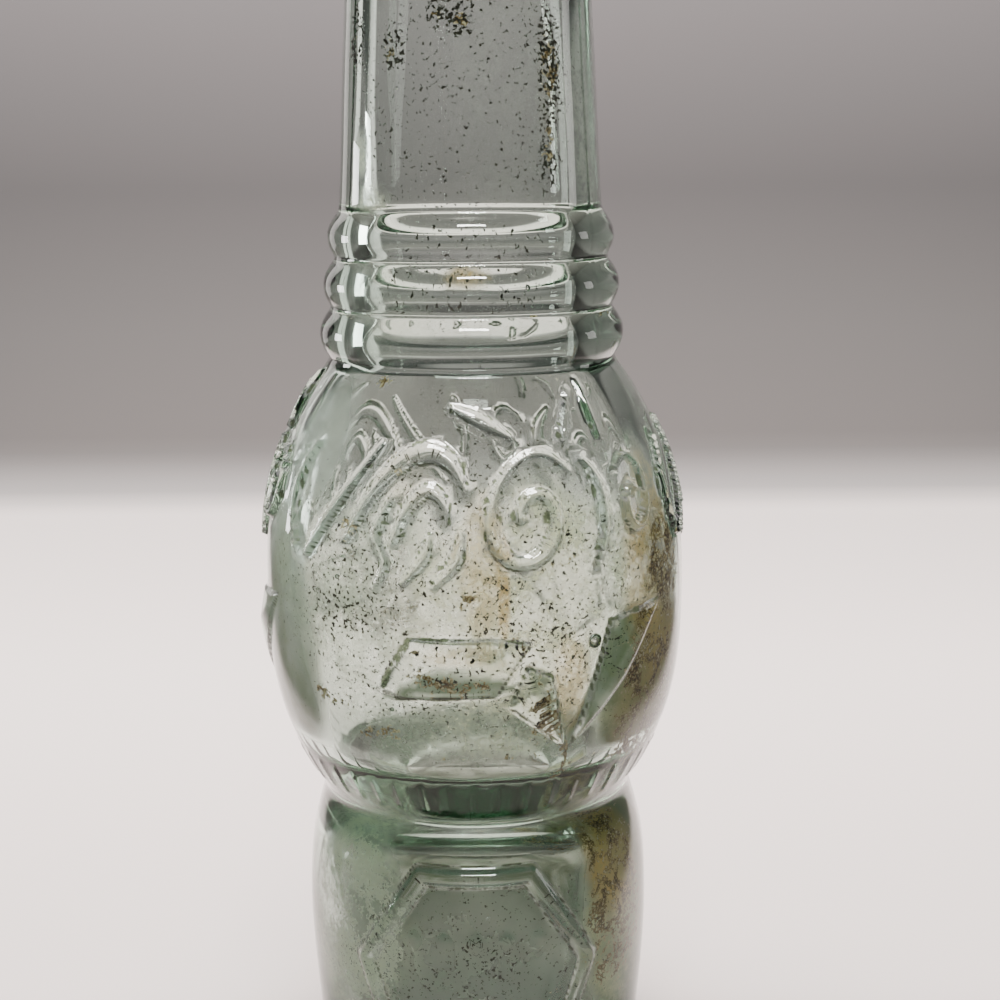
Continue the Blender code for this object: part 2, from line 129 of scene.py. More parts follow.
def plain_radius(z):
    """The outer radius at height z, without the rings."""
    z = np.asarray(z, float)
    low = swell(np.minimum(z - LOBE_Z, 0), LOBE_RISE, LOBE_RADIUS, HEEL_RADIUS, LOBE_LOW_FULLNESS)
    top = swell(np.maximum(z - LOBE_Z, 0), LOBE_FALL, LOBE_RADIUS, WAIST_RADIUS, LOBE_TOP_FULLNESS)
    lobe = low + top - LOBE_RADIUS
    low = swell(np.minimum(z - BULB_Z, 0), BULB_RISE, BULB_RADIUS, WAIST_RADIUS, BULB_LOW_FULLNESS)
    above = np.maximum(z - BULB_Z, 0)
    top = swell(above, SHOULDER_RISE, BULB_RADIUS, SHOULDER_RADIUS, BULB_TOP_FULLNESS)
    bulb = low + top - BULB_RADIUS
    body = soft_max(lobe, bulb, WAIST_FILLET)
    band_share = np.clip((z - SHOULDER_Z) / (NECK_Z - SHOULDER_Z), 0, 1)
    band = SHOULDER_RADIUS + (NECK_FOOT_RADIUS - SHOULDER_RADIUS) * band_share
    return np.where(z <= SHOULDER_Z, body, np.where(z < NECK_Z, band, neck_radius(z)))


def outer_radius(z):
    """The outer radius at height z, with the three rings."""
    radius = plain_radius(z)
    for index, ring_radius in enumerate(RING_RADII):
        offset = z - SHOULDER_Z - RING_PITCH * (index + 0.5)
        bead = swell(offset, RING_PITCH / 2, ring_radius, ring_radius - RING_DEPTH, RING_FULLNESS)
        radius = soft_max(radius, bead, RING_FILLET)
    return radius


def quarter(centre, radii, start, steps=8):
    """Points of a quarter ellipse in (radius, height), turning clockwise from start."""
    turns = [start - math.pi / 2 * step / steps for step in range(steps + 1)]
    return [(centre[0] + radii[0] * math.cos(a), centre[1] + radii[1] * math.sin(a)) for a in turns]


def rows(high, low, spacing):
    """Heights from high down to low, about a spacing apart, without the last one."""
    steps = max(1, round((high - low) / spacing))
    return [high + (low - high) * step / steps for step in range(steps)]


lip = quarter((LIP_RADIUS - LIP_EDGE, MOUTH_Z - LIP_EDGE), (LIP_EDGE, LIP_EDGE), math.pi / 2)
lip += quarter((UNDERCUT_RADIUS, LIP_Z + LIP_UNDER_EDGE),
               (LIP_RADIUS - UNDERCUT_RADIUS, LIP_UNDER_EDGE), 0.0, 6)
collar = quarter((UNDERCUT_RADIUS, UNDERCUT_Z - COLLAR_EDGE),
                 (COLLAR_RADIUS - UNDERCUT_RADIUS, COLLAR_EDGE), math.pi / 2, 6)
collar += quarter((NECK_TOP_RADIUS, COLLAR_Z + COLLAR_EDGE),
                  (COLLAR_RADIUS - NECK_TOP_RADIUS, COLLAR_EDGE), 0.0, 5)
levels = rows(COLLAR_Z, NECK_Z + RING_PITCH / 4, NECK_ROW)[1:]
levels += rows(NECK_Z + RING_PITCH / 4, SHOULDER_Z, RING_ROW)
levels += rows(SHOULDER_Z, BULB_Z, BULB_ROW) + rows(BULB_Z, WAIST_Z + RING_PITCH, BULB_ROW)
levels += rows(WAIST_Z + RING_PITCH, WAIST_Z - RING_PITCH, WAIST_ROW)
levels += rows(WAIST_Z - RING_PITCH, LOBE_Z / 3, LOBE_ROW) + rows(LOBE_Z / 3, HEEL_HEIGHT, FOOT_ROW)
wall_line = [(float(outer_radius(z)), z) for z in levels]
heel_radius = float(outer_radius(HEEL_HEIGHT))
heel = quarter((FOOT_RADIUS, HEEL_HEIGHT), (heel_radius - FOOT_RADIUS, HEEL_HEIGHT), 0.0, 7)
push_up = []
for step in range(10):
    share = 1 - step / 9
    push_up.append((FOOT_INNER_RADIUS * share, PUSH_UP_HEIGHT * (1 - share ** 2)))
outside_line = lip + collar + wall_line + heel + push_up


# The glass inside: the blown face of the same wall. It keeps clear of the mould's detail, bulges
# in to a thick ring at the waist, where the glass gathered, and wanders a little, which is what
# bends the light in old glass.
FLOOR_THICKNESS = 0.0062
FLOOR_CORNER = 0.0080
BORE_RADIUS = 0.0080
BORE_DEPTH = 0.0150
MOUTH_EDGE = 0.0012
LOBE_WALL = 0.0041
WAIST_WALL = 0.0048
BULB_WALL = 0.0039
RING_BAND_WALL = 0.0042
NECK_WALL = 0.0036
GATHER = 0.0065
GATHER_BELOW = 0.0080
GATHER_ABOVE = 0.0090
CHAMBER_ROW = 0.0012
GATHER_ROW = 0.0008
LOWER_ROW = 0.0013


def inner_radius(z):
    """The inner radius at height z, bulged in at the waist and drawn in to the bore at the top."""
    places = (HEEL_HEIGHT, LOBE_Z, WAIST_Z, BULB_Z, SHOULDER_Z, NECK_Z, COLLAR_Z)
    walls = (LOBE_WALL, LOBE_WALL, WAIST_WALL, BULB_WALL, RING_BAND_WALL, NECK_WALL, NECK_WALL)
    reach = np.where(z < WAIST_Z, GATHER_BELOW, GATHER_ABOVE)
    gathered = GATHER * eased(1 - np.abs(z - WAIST_Z) / reach)
    body = plain_radius(np.minimum(z, COLLAR_Z)) - np.interp(z, places, walls) - gathered
    share = (z - NECK_MID_Z) / (MOUTH_Z - BORE_DEPTH - NECK_MID_Z)
    return body + (BORE_RADIUS - body) * eased(share)


corner_z = FLOOR_THICKNESS + FLOOR_CORNER
corner_radius = float(inner_radius(corner_z))
inside_line = [(0.0, FLOOR_THICKNESS + PUSH_UP_HEIGHT)]
for step in range(1, 8):
    share = step / 8
    inside_line.append(((corner_radius - FLOOR_CORNER) * share,
                        FLOOR_THICKNESS + PUSH_UP_HEIGHT * (1 - share ** 2)))
inside_line += quarter((corner_radius - FLOOR_CORNER, corner_z),
                       (FLOOR_CORNER, FLOOR_CORNER), 0.0)[::-1]
inside_levels = rows(MOUTH_Z - BORE_DEPTH, WAIST_Z + GATHER_ABOVE, CHAMBER_ROW)
inside_levels += rows(WAIST_Z + GATHER_ABOVE, WAIST_Z - GATHER_BELOW, GATHER_ROW)
inside_levels = (inside_levels + rows(WAIST_Z - GATHER_BELOW, corner_z, LOWER_ROW))[::-1]
inside_line += [(float(inner_radius(z)), z) for z in inside_levels]
inside_line += quarter((BORE_RADIUS + MOUTH_EDGE, MOUTH_Z - MOUTH_EDGE),
                       (MOUTH_EDGE, MOUTH_EDGE), math.pi, 5)


# The raised ornament, all pressed up by the mould: three like stretches round the bulb, each with
# a band of leaves and volutes above a row of faceted blades, short bars round the bulb's
# underside, and a bordered panel with a row of studs on the front and back of the lower body.
STRETCH_COUNT = 3
SCROLL_Z = 0.0960
SCROLL_RADIUS = 0.0280
SCROLL_HALF_HEIGHT = 0.0080
SCROLL_CREST = 0.00095
SCROLL_DROP = 0.0120
SCROLL_HEADROOM = 0.0003
BLADE_Z = 0.0738
BLADE_HALF_HEIGHT = 0.0088
BLADE_STEP = 0.00032
BLADE_RELIEF = 0.0011
BLADE_MARGIN = 0.001
# The part of a piece of ornament, in from its edge, that rises, and the band at its foot that takes a
# painted dark line of shade.
STROKE_EASE_SHARE = 0.26
BLADE_EASE_SHARE = 0.11
PANEL_EASE_SHARE = 0.8
STUD_EASE_SHARE = 0.5
SCROLL_FOOT_SHARE = 0.15
BLADE_FOOT_SHARE = 0.060
PANEL_FOOT_SHARE = 0.075
STROKE_ROUNDNESS = 2.4
BAR_COUNT = 46
BAR_LOW_Z = 0.0556
BAR_HIGH_Z = 0.0592
BAR_HALF_WIDTH = 0.00045
BAR_CREST = 0.00018
RELIEF_MARGIN = 0.002
PANEL_COUNT = 2
PANEL_TOP_HALF_WIDTH = 0.0074
PANEL_MID_HALF_WIDTH = 0.0163
PANEL_BOTTOM_HALF_WIDTH = 0.0088
PANEL_TOP_RISE = 0.0131
PANEL_BOTTOM_FALL = 0.0186
PANEL_HALF_BORDER = 0.00150
PANEL_CREST = 0.00075
STUD_COUNT = 7
STUD_PITCH = 0.0042
STUD_LENGTH = 0.0040
STUD_WIDTH = 0.0026
STUD_CREST = 0.00035
STUD_Z = LOBE_Z + 0.0042
SEAM_COUNT = 2
SEAM_HALF_WIDTH = 0.00040
SEAM_CREST = 0.00012

# Leaves and sweeps: across and half width as shares of the stretch, up as one of the half height.
LEAF_SHARES = (
    ((-0.276, -0.45, 0.0068), (-0.222, 0.3, 0.0179), (-0.16, 0.78, 0.0239),
     (-0.092, 0.94, 0.0247), (-0.041, 0.78, 0.0196), (-0.007, 0.36, 0.006)),
    ((-0.048, 1.6, 0.006), (0.024, 1.41, 0.0171), (0.099, 1.15, 0.006)),
    ((0.283, 1.77, 0.0051), (0.249, 1.32, 0.0162), (0.229, 1.05, 0.0068)),
    ((0.334, 1.93, 0.0051), (0.334, 1.4, 0.0136), (0.338, 1.0, 0.006)),
    ((-0.215, 1.05, 0.0051), (-0.324, -0.05, 0.0136), (-0.39, -0.78, 0.0077)),
    ((-0.203, -1.18, 0.0051), (-0.182, -0.75, 0.0119),
     (-0.205, -0.3, 0.0128), (-0.167, 0.33, 0.0051)),
    ((-0.017, -0.17, 0.0051), (-0.031, -0.68, 0.0162), (-0.078, -1.1, 0.006)),
    ((-0.164, -0.47, 0.0051), (-0.14, 0.05, 0.0153), (-0.095, 0.38, 0.0179),
     (-0.058, 0.22, 0.0128), (-0.048, -0.1, 0.0051)),
    ((-0.084, -0.28, 0.0051), (-0.096, -0.63, 0.0145), (-0.14, -1.05, 0.006)),
    ((0.266, 0.8, 0.0051), (0.3, 0.4, 0.0162), (0.304, -0.3, 0.0153), (0.273, -0.97, 0.0051)),
    ((-0.419, 0.95, 0.0051), (-0.46, 0.17, 0.0153), (-0.433, -0.75, 0.0051)),
)
# Volutes: middle, reach across, reach up, half width, first turn and turn made, in degrees. Each
# winds in by a share of its reach, leans over by a share, and keeps a share of its width.
VOLUTE_SHARES = (
    ((0.13, -0.07), 0.1125, 1.05, 0.0196, 40.0, 500.0),
    ((0.402, 0.05), 0.0614, 0.775, 0.0145, 150.0, -440.0),
)
VOLUTE_WIND_SHARE = 0.80
VOLUTE_LEAN_SHARE = 0.15
VOLUTE_WIDTH_SHARE = 0.35
# Blades: the corners of each outline, then its apex.
BLADE_SHARES = (
    ((-0.205, -0.05), (-0.159, -0.16), (0.05, -0.1), (0.126, 0.7), (0.036, 0.78), (-0.134, 0.78),
     (0.043, 0.41)),
    ((0.076, -0.27), (0.205, -1.0), (0.169, 0.18), (0.114, 0.34), (0.127, -0.07)),
    ((0.218, -1.0), (0.354, -0.07), (0.476, 1.0), (0.307, 0.89), (0.34, 0.39)),
)


def folded(azimuth, count):
    """The azimuth from the middle of the nearest of count equal shares of the whole turn."""
    share = math.tau / count
    return (azimuth + share / 2) % share - share / 2


def stroke(path, across, up):
    """How deep points lie in a stroke along a path of (across, up, half width): 1 on its middle
    line, 0 at its edge, and less than 0 outside."""
    depth = np.full(across.shape, -np.inf)
    for (a0, u0, w0), (a1, u1, w1) in zip(path, path[1:]):
        da, du = a1 - a0, u1 - u0
        t = np.clip(((across - a0) * da + (up - u0) * du) / (da * da + du * du), 0, 1)
        away = np.hypot(across - a0 - t * da, up - u0 - t * du)
        depth = np.maximum(depth, 1 - away / (w0 + (w1 - w0) * t))
    return depth


def rounded(depth):
    """The height, as a share of its crest, of a stroke with a round back and a crisp foot."""
    depth = np.clip(depth, 0, 1)
    return (1 - (1 - depth) ** STROKE_ROUNDNESS) * eased(depth / STROKE_EASE_SHARE)


def flowing(points, steps=8):
    """A line that bends smoothly through points of (across, up, half width)."""
    ends = np.array([points[0], *points, points[-1]], float)
    line = []
    for index in range(1, len(ends) - 2):
        before, first, last, after = ends[index - 1:index + 3]
        for step in range(steps):
            t = step / steps
            line.append(0.5 * (2 * first + (last - before) * t
                               + (2 * before - 5 * first + 4 * last - after) * t ** 2
                               + (3 * first - before - 3 * last + after) * t ** 3))
    return line + [ends[-1]]


def volute(middle, reach_across, reach_up, half_width, start, turn, steps=44):
    """A spiral that winds in to a fat end, as the same shares that a leaf is written in."""
    line = []
    for step in range(steps + 1):
        share = step / steps
        reach = 1 - VOLUTE_WIND_SHARE * share
        angle = math.radians(start + turn * share)
        lean = math.cos(angle) + VOLUTE_LEAN_SHARE * math.sin(angle)
        across = middle[0] + reach_across * reach * lean
        up = middle[1] + reach_up * reach * math.sin(angle)
        fat = max(math.sin(math.pi * share), VOLUTE_WIDTH_SHARE * (1 + share))
        line.append((across, up, half_width * fat))
    return line


scroll_stretch = math.tau * SCROLL_RADIUS / STRETCH_COUNT
scroll_scale = np.array((scroll_stretch, SCROLL_HALF_HEIGHT, scroll_stretch))
scroll = [flowing(leaf) for leaf in LEAF_SHARES] + [volute(*shares) for shares in VOLUTE_SHARES]
scroll = [[point * scroll_scale for point in np.array(path)] for path in scroll]


def roof(corners, apex, across, up):
    """How high points lie on the slopes from an outline up to its apex: 0 at the edge, 1 on top."""
    height = np.full(across.shape, np.inf)
    for (a0, u0), (a1, u1) in zip(corners, corners[1:] + corners[:1]):
        turn_a, turn_u = u0 - u1, a1 - a0
        whole = (apex[0] - a0) * turn_a + (apex[1] - u0) * turn_u
        height = np.minimum(height, ((across - a0) * turn_a + (up - u0) * turn_u) / whole)
    return height


def ornament(azimuth, z):
    """Relief heights, how deep each point lies in the ornament, below 0 outside it, and how near
    it lies to the foot of a raised edge."""
    height = np.zeros(z.shape)
    depth = np.full(z.shape, -np.inf)
    foot = np.zeros(z.shape)

    def lay(picked, inside, raised, foot_share=0.0):
        """Raise the picked points by one form, where nothing higher lies yet."""
        height[picked] = np.maximum(height[picked], raised)
        depth[picked] = np.maximum(depth[picked], inside)
        if foot_share:
            near_foot = eased(1.25 - np.abs(inside / foot_share - 0.5))
            foot[picked] = np.maximum(foot[picked], near_foot)

    picked = (z > SCROLL_Z - SCROLL_DROP) & (z < SHOULDER_Z - SCROLL_HEADROOM)
    across = folded(azimuth[picked], STRETCH_COUNT) * SCROLL_RADIUS
    for path in scroll:
        for shift in (-scroll_stretch, 0.0, scroll_stretch):
            inside = stroke(path, across - shift, z[picked] - SCROLL_Z)
            lay(picked, inside, SCROLL_CREST * rounded(inside), SCROLL_FOOT_SHARE)

    picked = np.abs(z - BLADE_Z) < BLADE_HALF_HEIGHT + BLADE_MARGIN
    across = folded(azimuth[picked], STRETCH_COUNT) * STRETCH_COUNT / math.tau
    up = (z[picked] - BLADE_Z) / BLADE_HALF_HEIGHT
    for *corners, apex in BLADE_SHARES:
        inside = roof(corners, apex, across, up)
        raised = BLADE_STEP * eased(inside / BLADE_EASE_SHARE)
        raised += (BLADE_RELIEF - BLADE_STEP) * np.clip(inside, 0, 1)
        lay(picked, inside, raised, BLADE_FOOT_SHARE)

    picked = (z > BAR_LOW_Z - RELIEF_MARGIN) & (z < BAR_HIGH_Z + RELIEF_MARGIN)
    across = folded(azimuth[picked], BAR_COUNT) * plain_radius(z[picked])
    bar = ((0.0, BAR_LOW_Z, BAR_HALF_WIDTH), (0.0, BAR_HIGH_Z, BAR_HALF_WIDTH))
    inside = stroke(bar, across, z[picked])
    lay(picked, inside, BAR_CREST * rounded(inside))

    picked = z > LOBE_Z - PANEL_BOTTOM_FALL - RELIEF_MARGIN
    picked &= z < LOBE_Z + PANEL_TOP_RISE + RELIEF_MARGIN
    across = folded(azimuth[picked], PANEL_COUNT) * plain_radius(z[picked])
    corners = ((-PANEL_TOP_HALF_WIDTH, PANEL_TOP_RISE), (-PANEL_MID_HALF_WIDTH, 0.0),
               (-PANEL_BOTTOM_HALF_WIDTH, -PANEL_BOTTOM_FALL),
               (PANEL_BOTTOM_HALF_WIDTH, -PANEL_BOTTOM_FALL),
               (PANEL_MID_HALF_WIDTH, 0.0), (PANEL_TOP_HALF_WIDTH, PANEL_TOP_RISE),
               (-PANEL_TOP_HALF_WIDTH, PANEL_TOP_RISE))
    border = [(x, y, PANEL_HALF_BORDER) for x, y in corners]
    inside = stroke(border, across, z[picked] - LOBE_Z)
    lay(picked, inside, PANEL_CREST * eased(inside / PANEL_EASE_SHARE), PANEL_FOOT_SHARE)
    for index in range(-(STUD_COUNT // 2), STUD_COUNT // 2 + 1):
        aside = np.abs(across - index * STUD_PITCH) / (STUD_WIDTH / 2)
        inside = 1 - aside - np.abs(z[picked] - STUD_Z) / (STUD_LENGTH / 2)
        lay(picked, inside, STUD_CREST * eased(inside / STUD_EASE_SHARE))

    picked = z > HEEL_HEIGHT
    across = folded(azimuth[picked] + math.pi / 2, SEAM_COUNT) * outer_radius(z[picked])
    inside = 1 - np.abs(across) / SEAM_HALF_WIDTH
    raised = SEAM_CREST * eased(inside)
    height[picked] += np.where(height[picked] > SEAM_CREST, 0.0, raised)
    return height, depth, np.where(depth > 0.5, 0.0, foot)


# The bottle's mesh: its whole outline is spun about the axis, the outside is cut finer where
# ornament lies, and every point is then moved out to its relief. Both faces of the glass also
# wander a little, the blown inner one more than the moulded outer one.
GLASS_COLUMNS = 160
MERGE_DISTANCE = 0.0000005
FINER_DEPTH = -0.30
WAVE_COUNT = 14
WAVE_SUM = 5
WAVE_CLIMB = 3.0
OUTER_WANDER = 0.00004
OUTER_WAVE = 0.050
INNER_WANDER = 0.00012
INNER_WAVE = 0.150
FLOOR_FADE = 0.01
BORE_FADE = 0.02


def spin(body, points, columns):
    """Spin a line of points about the axis into a closed shell."""
    edges = [body.edges.new(pair) for pair in zip(points, points[1:])]
    bmesh.ops.spin(body, geom=points + edges, axis=(0, 0, 1), cent=(0, 0, 0),
                   steps=columns, angle=math.tau, use_merge=True)
    bmesh.ops.remove_doubles(body, verts=body.verts, dist=MERGE_DISTANCE)
    bmesh.ops.recalc_face_normals(body, faces=body.faces)


def smooth_mesh(body, name):
    """The finished mesh of a body, with smooth shading."""
    mesh = bpy.data.meshes.new(name)
    body.to_mesh(mesh)
    body.free()
    mesh.shade_smooth()
    return mesh


def placed(name, data):
    """A new object in the scene."""
    made = bpy.data.objects.new(name, data)
    bpy.context.scene.collection.objects.link(made)
    return made


shape = bmesh.new()
inner_mark = shape.verts.layers.float.new("inner_wall")
outline = inside_line + outside_line
line = [shape.verts.new((radius, 0.0, z)) for radius, z in outline]
for index, vertex in enumerate(line):
    vertex[inner_mark] = 1.0 if index < len(inside_line) else 0.0
spin(shape, line, GLASS_COLUMNS)

walls = [face for face in shape.faces if not any(vertex[inner_mark] for vertex in face.verts)]
centres = np.array([face.calc_center_median() for face in walls])
_, near, _ = ornament(np.arctan2(centres[:, 0], -centres[:, 1]), centres[:, 2])
finer = set()
for face, depth in zip(walls, near):
    if depth > FINER_DEPTH:
        finer.update(face.edges)
bmesh.ops.subdivide_edges(shape, edges=list(finer), cuts=2, use_grid_fill=True)

glass_mesh = smooth_mesh(shape, "glass")


def wander(azimuth, z, seed, most_turns, longest):
    """A smooth, slow unevenness, about -1 to 1, that closes on itself round the bottle."""
    chance = np.random.default_rng(seed)
    total = np.zeros(z.shape)
    for _ in range(WAVE_COUNT):
        turns = chance.integers(1, most_turns)
        climb = chance.uniform(-WAVE_CLIMB, WAVE_CLIMB) * math.tau / longest
        total += np.sin(turns * azimuth + climb * z + chance.uniform(0, math.tau))
    return total / WAVE_SUM


count = len(glass_mesh.vertices)
places = np.empty(count * 3)
glass_mesh.vertices.foreach_get("co", places)
places = places.reshape(-1, 3)
inner = np.empty(count)
glass_mesh.attributes["inner_wall"].data.foreach_get("value", inner)
x, y, z = places.T
azimuth = np.arctan2(x, -y)
radius = np.hypot(x, y)
on_wall = (inner < 0.5) & (z > HEEL_HEIGHT - MERGE_DISTANCE) & (z < COLLAR_Z)
on_wall &= radius > HEEL_RADIUS / 2
relief, _, foot = ornament(azimuth[on_wall], z[on_wall])
moved = radius.copy()
moved[on_wall] = outer_radius(z[on_wall]) + relief
moved[on_wall] += OUTER_WANDER * wander(azimuth[on_wall], z[on_wall], 3, 7, OUTER_WAVE)
blown = (inner > 0.5) & (z > corner_z) & (z < MOUTH_Z - BORE_DEPTH)
fade = eased((z - corner_z) / FLOOR_FADE) * eased((MOUTH_Z - BORE_DEPTH - z) / BORE_FADE)
moved[blown] += (INNER_WANDER * fade * wander(azimuth, z, 8, 9, INNER_WAVE))[blown]
places[:, 0] = moved * np.sin(azimuth)
places[:, 1] = -moved * np.cos(azimuth)
glass_mesh.vertices.foreach_set("co", places.ravel())
glass_mesh.update()
glass_bottle = placed("bottle_glass", glass_mesh)


# The dirt: an old bottle holds a chalky haze, olive film, green slime at its foot, a tan drip
# line, crusts of rusty soil and scattered specks, all dried on to the inner wall. Painted shade
# rides on these fields: the film and slime also darken the blades' facets and, in part, the floor,
# and a dark line of shade is painted outside along the foot of the ornament. Each is a field, 1 at
# its heart and 0 at its border.
# The drip line ends sharply at one side, over a span of heights.
DRIP_EDGE_TURN = math.radians(9.6)
DRIP_EDGE_REACH = math.radians(22.0)
DRIP_EDGE_SPAN = (0.0795, 0.0925)
# The waist is rinsed clean, but for its sides below a height.
CLEAN_RING = (0.0468, 0.0626)
CLEAN_EDGE_SHARE = 1 / 6
SIDE_TURN = 0.50
SIDE_TURN_FADE = 0.30
SIDE_TOP = 0.057
PATCH_REACH = 1.12
PATCH_SOFTNESS = 1.6
# How strong a trail is at its edge, and how much more at its middle.
RUST_STRENGTH = (0.8, 0.5)
BLADE_SHADE_STRENGTH = (0.4, 1.4)
BLADE_SHADE_HIDES_HAZE = 0.8
BLADE_SHADE_SLIME_SHARE = 0.35
# A patch is its turn from the front and height, its half turn and half height, and its strength.
HAZE_PATCHES = (
    (25, 0.0842, 44, 0.019, 1.0), (-31, 0.0842, 42, 0.0165, 0.85), (2, 0.0682, 55, 0.0075, 0.9),
    (-57, 0.0874, 22, 0.009, 0.5), (-52, 0.0353, 32, 0.017, 1.6), (60, 0.0323, 28, 0.014, 0.8),
    (-57, 0.1337, 18, 0.0025, 1.0), (-64, 0.1398, 8, 0.0036, 0.9), (72, 0.1454, 24, 0.015, 0.45),
    (-43, 0.1213, 32, 0.0077, 0.3), (180, 0.077, 110, 0.016, 0.45), (180, 0.04, 110, 0.012, 0.5),
    (150, 0.15, 50, 0.025, 0.25), (-60, 0.052, 34, 0.007, 1.3), (58, 0.053, 26, 0.006, 0.9))
STAIN_PATCHES = (
    (3, 0.0889, 8, 0.012, 0.62), (8.4, 0.0862, 1.9, 0.0085, 1.5), (-3, 0.0775, 15, 0.0018, 0.6),
    (28, 0.0728, 8, 0.0085, 0.7), (62, 0.0854, 18, 0.02, 0.9), (-1, 0.1237, 15, 0.0014, 1.1),
    (61, 0.0437, 20, 0.011, 0.9), (62, 0.067, 24, 0.015, 0.45), (44, 0.1477, 9, 0.0118, 0.35),
    (-19, 0.0992, 13, 0.0046, 0.4))
# Film on the floor and low on the back wall: partly sediment, partly painted shade under the bottle.
FILM_AND_SHADE_PATCHES = (
    (1, 0.033, 44, 0.014, 0.6), (180, 0.022, 170, 0.031, 1.0), (0, 0.005, 400, 0.014, 1.0),
    (180, 0.1, 80, 0.016, 0.2), (-50, 0.078, 28, 0.022, 0.28), (-58, 0.102, 18, 0.01, 0.45),
    (-66, 0.074, 22, 0.026, 0.9), (62, 0.067, 28, 0.018, 1.6), (72, 0.034, 36, 0.021, 1.6))
CRUST_PATCHES = (
    (68, 0.0853, 14, 0.011, 1.0), (56, 0.0792, 8, 0.0085, 0.8), (62, 0.0443, 22, 0.01, 0.9),
    (62, 0.0345, 26, 0.013, 0.86), (63, 0.068, 22, 0.015, 0.92), (45, 0.1509, 8, 0.0056, 0.9),
    (43, 0.1408, 5, 0.0042, 0.8), (-16, 0.157, 4, 0.0012, 0.9), (-3, 0.1561, 6, 0.0016, 0.9),
    (-42, 0.153, 5, 0.0019, 0.9), (-71, 0.155, 7, 0.0022, 0.8), (-37, 0.1101, 6, 0.0013, 0.9),
    (38, 0.1106, 8, 0.0011, 0.75), (-24, 0.1012, 4, 0.0016, 0.8), (-38, 0.0925, 4, 0.0019, 1.0),
    (9, 0.0909, 4, 0.001, 0.95), (-1, 0.0845, 5, 0.0016, 0.95), (-3, 0.0738, 13, 0.0017, 1.0),
    (-14, 0.075, 5, 0.0022, 0.8), (-16, 0.078, 4, 0.0011, 0.85), (21, 0.0693, 6, 0.005, 0.75),
    (51, 0.0735, 10, 0.0063, 0.95), (-30, 0.0666, 12, 0.0019, 0.85), (-46, 0.0703, 14, 0.0015, 0.8),
    (30, 0.1186, 3, 0.0008, 1.0), (-75, 0.1174, 18, 0.0015, 0.7), (83, 0.1166, 14, 0.0015, 0.8),
    (29, 0.0274, 4, 0.0014, 0.9), (25, 0.0892, 8, 0.002, 0.6), (-140, 0.075, 30, 0.012, 0.8),
    (130, 0.048, 26, 0.01, 0.8))
SPECK_PATCHES = (
    (0, 0.148, 95, 0.026, 0.74), (0, 0.085, 90, 0.03, 0.84), (-36, 0.087, 26, 0.013, 1.0),
    (22, 0.08, 26, 0.009, 1.0), (0, 0.033, 80, 0.016, 0.74), (8, 0.031, 14, 0.005, 1.0),
    (180, 0.09, 90, 0.06, 0.6), (-16, 0.157, 9, 0.003, 1.2), (-4, 0.1562, 11, 0.0036, 1.25),
    (-40, 0.153, 12, 0.0042, 1.25), (-70, 0.1548, 12, 0.006, 1.25), (45, 0.15, 11, 0.012, 1.25),
    (43, 0.14, 9, 0.0075, 1.25), (0, 0.125, 70, 0.009, 0.85))
# The slime on the floor is partly painted shade under the bottle.
SLIME_AND_SHADE_PATCHES = (
    (92, 0.0215, 48, 0.0215, 1.0), (-92, 0.0215, 48, 0.0215, 1.0), (0, 0.005, 400, 0.013, 1.0))
WARM_PATCHES = (
    (10, 0.083, 36, 0.022, 1.0), (70, 0.05, 50, 0.06, 0.8), (0, 0.13, 120, 0.03, 0.7))
# A trail runs from one turn, height and half width to another.
RUST_TRAILS = (
    (11, 0.0797, 0.00045, 19, 0.0732, 0.00045), (19, 0.0732, 0.0004, 25, 0.067, 0.0004),
    (25, 0.067, 0.00055, 31, 0.0622, 0.00055), (31, 0.0622, 0.0007, 27, 0.06, 0.0007),
    (-12, 0.0632, 0.00028, 22, 0.0634, 0.00028))
# These trails are painted shade: dark bands across the blades' facets, which hide the haze there and add
# to the film and slime.
BLADE_SHADE_TRAILS = (
    (29, 0.0655, 0.0012, 50, 0.0785, 0.0042), (-26, 0.0716, 0.0003, -10, 0.0742, 0.0017),
    (-10, 0.0742, 0.0017, 5, 0.0743, 0.0015), (5, 0.0743, 0.0015, 13, 0.0728, 0.0005))


def field(patches):
    """The strongest of several soft oval patches at each point of the inner wall."""
    strongest = np.zeros(count)
    for turn, height, half_turn, half_height, strength in patches:
        aside = (azimuth - math.radians(turn) + math.pi) % math.tau - math.pi
        away = np.hypot(aside / math.radians(half_turn), (z - height) / half_height)
        strongest = np.maximum(strongest, strength * eased(PATCH_SOFTNESS * (PATCH_REACH - away)))
    return strongest * inner


def trails(runs, edge, gain):
    """Soft lines along the inner wall, from how deep each point lies in them."""
    strongest = np.zeros(count)
    for turn_a, height_a, half_a, turn_b, height_b, half_b in runs:
        run = ((math.radians(turn_a), height_a / BULB_RADIUS, half_a / BULB_RADIUS),
               (math.radians(turn_b), height_b / BULB_RADIUS, half_b / BULB_RADIUS))
        strongest = np.maximum(strongest, eased(edge + gain * stroke(run, azimuth, z / BULB_RADIUS)))
    return strongest * inner
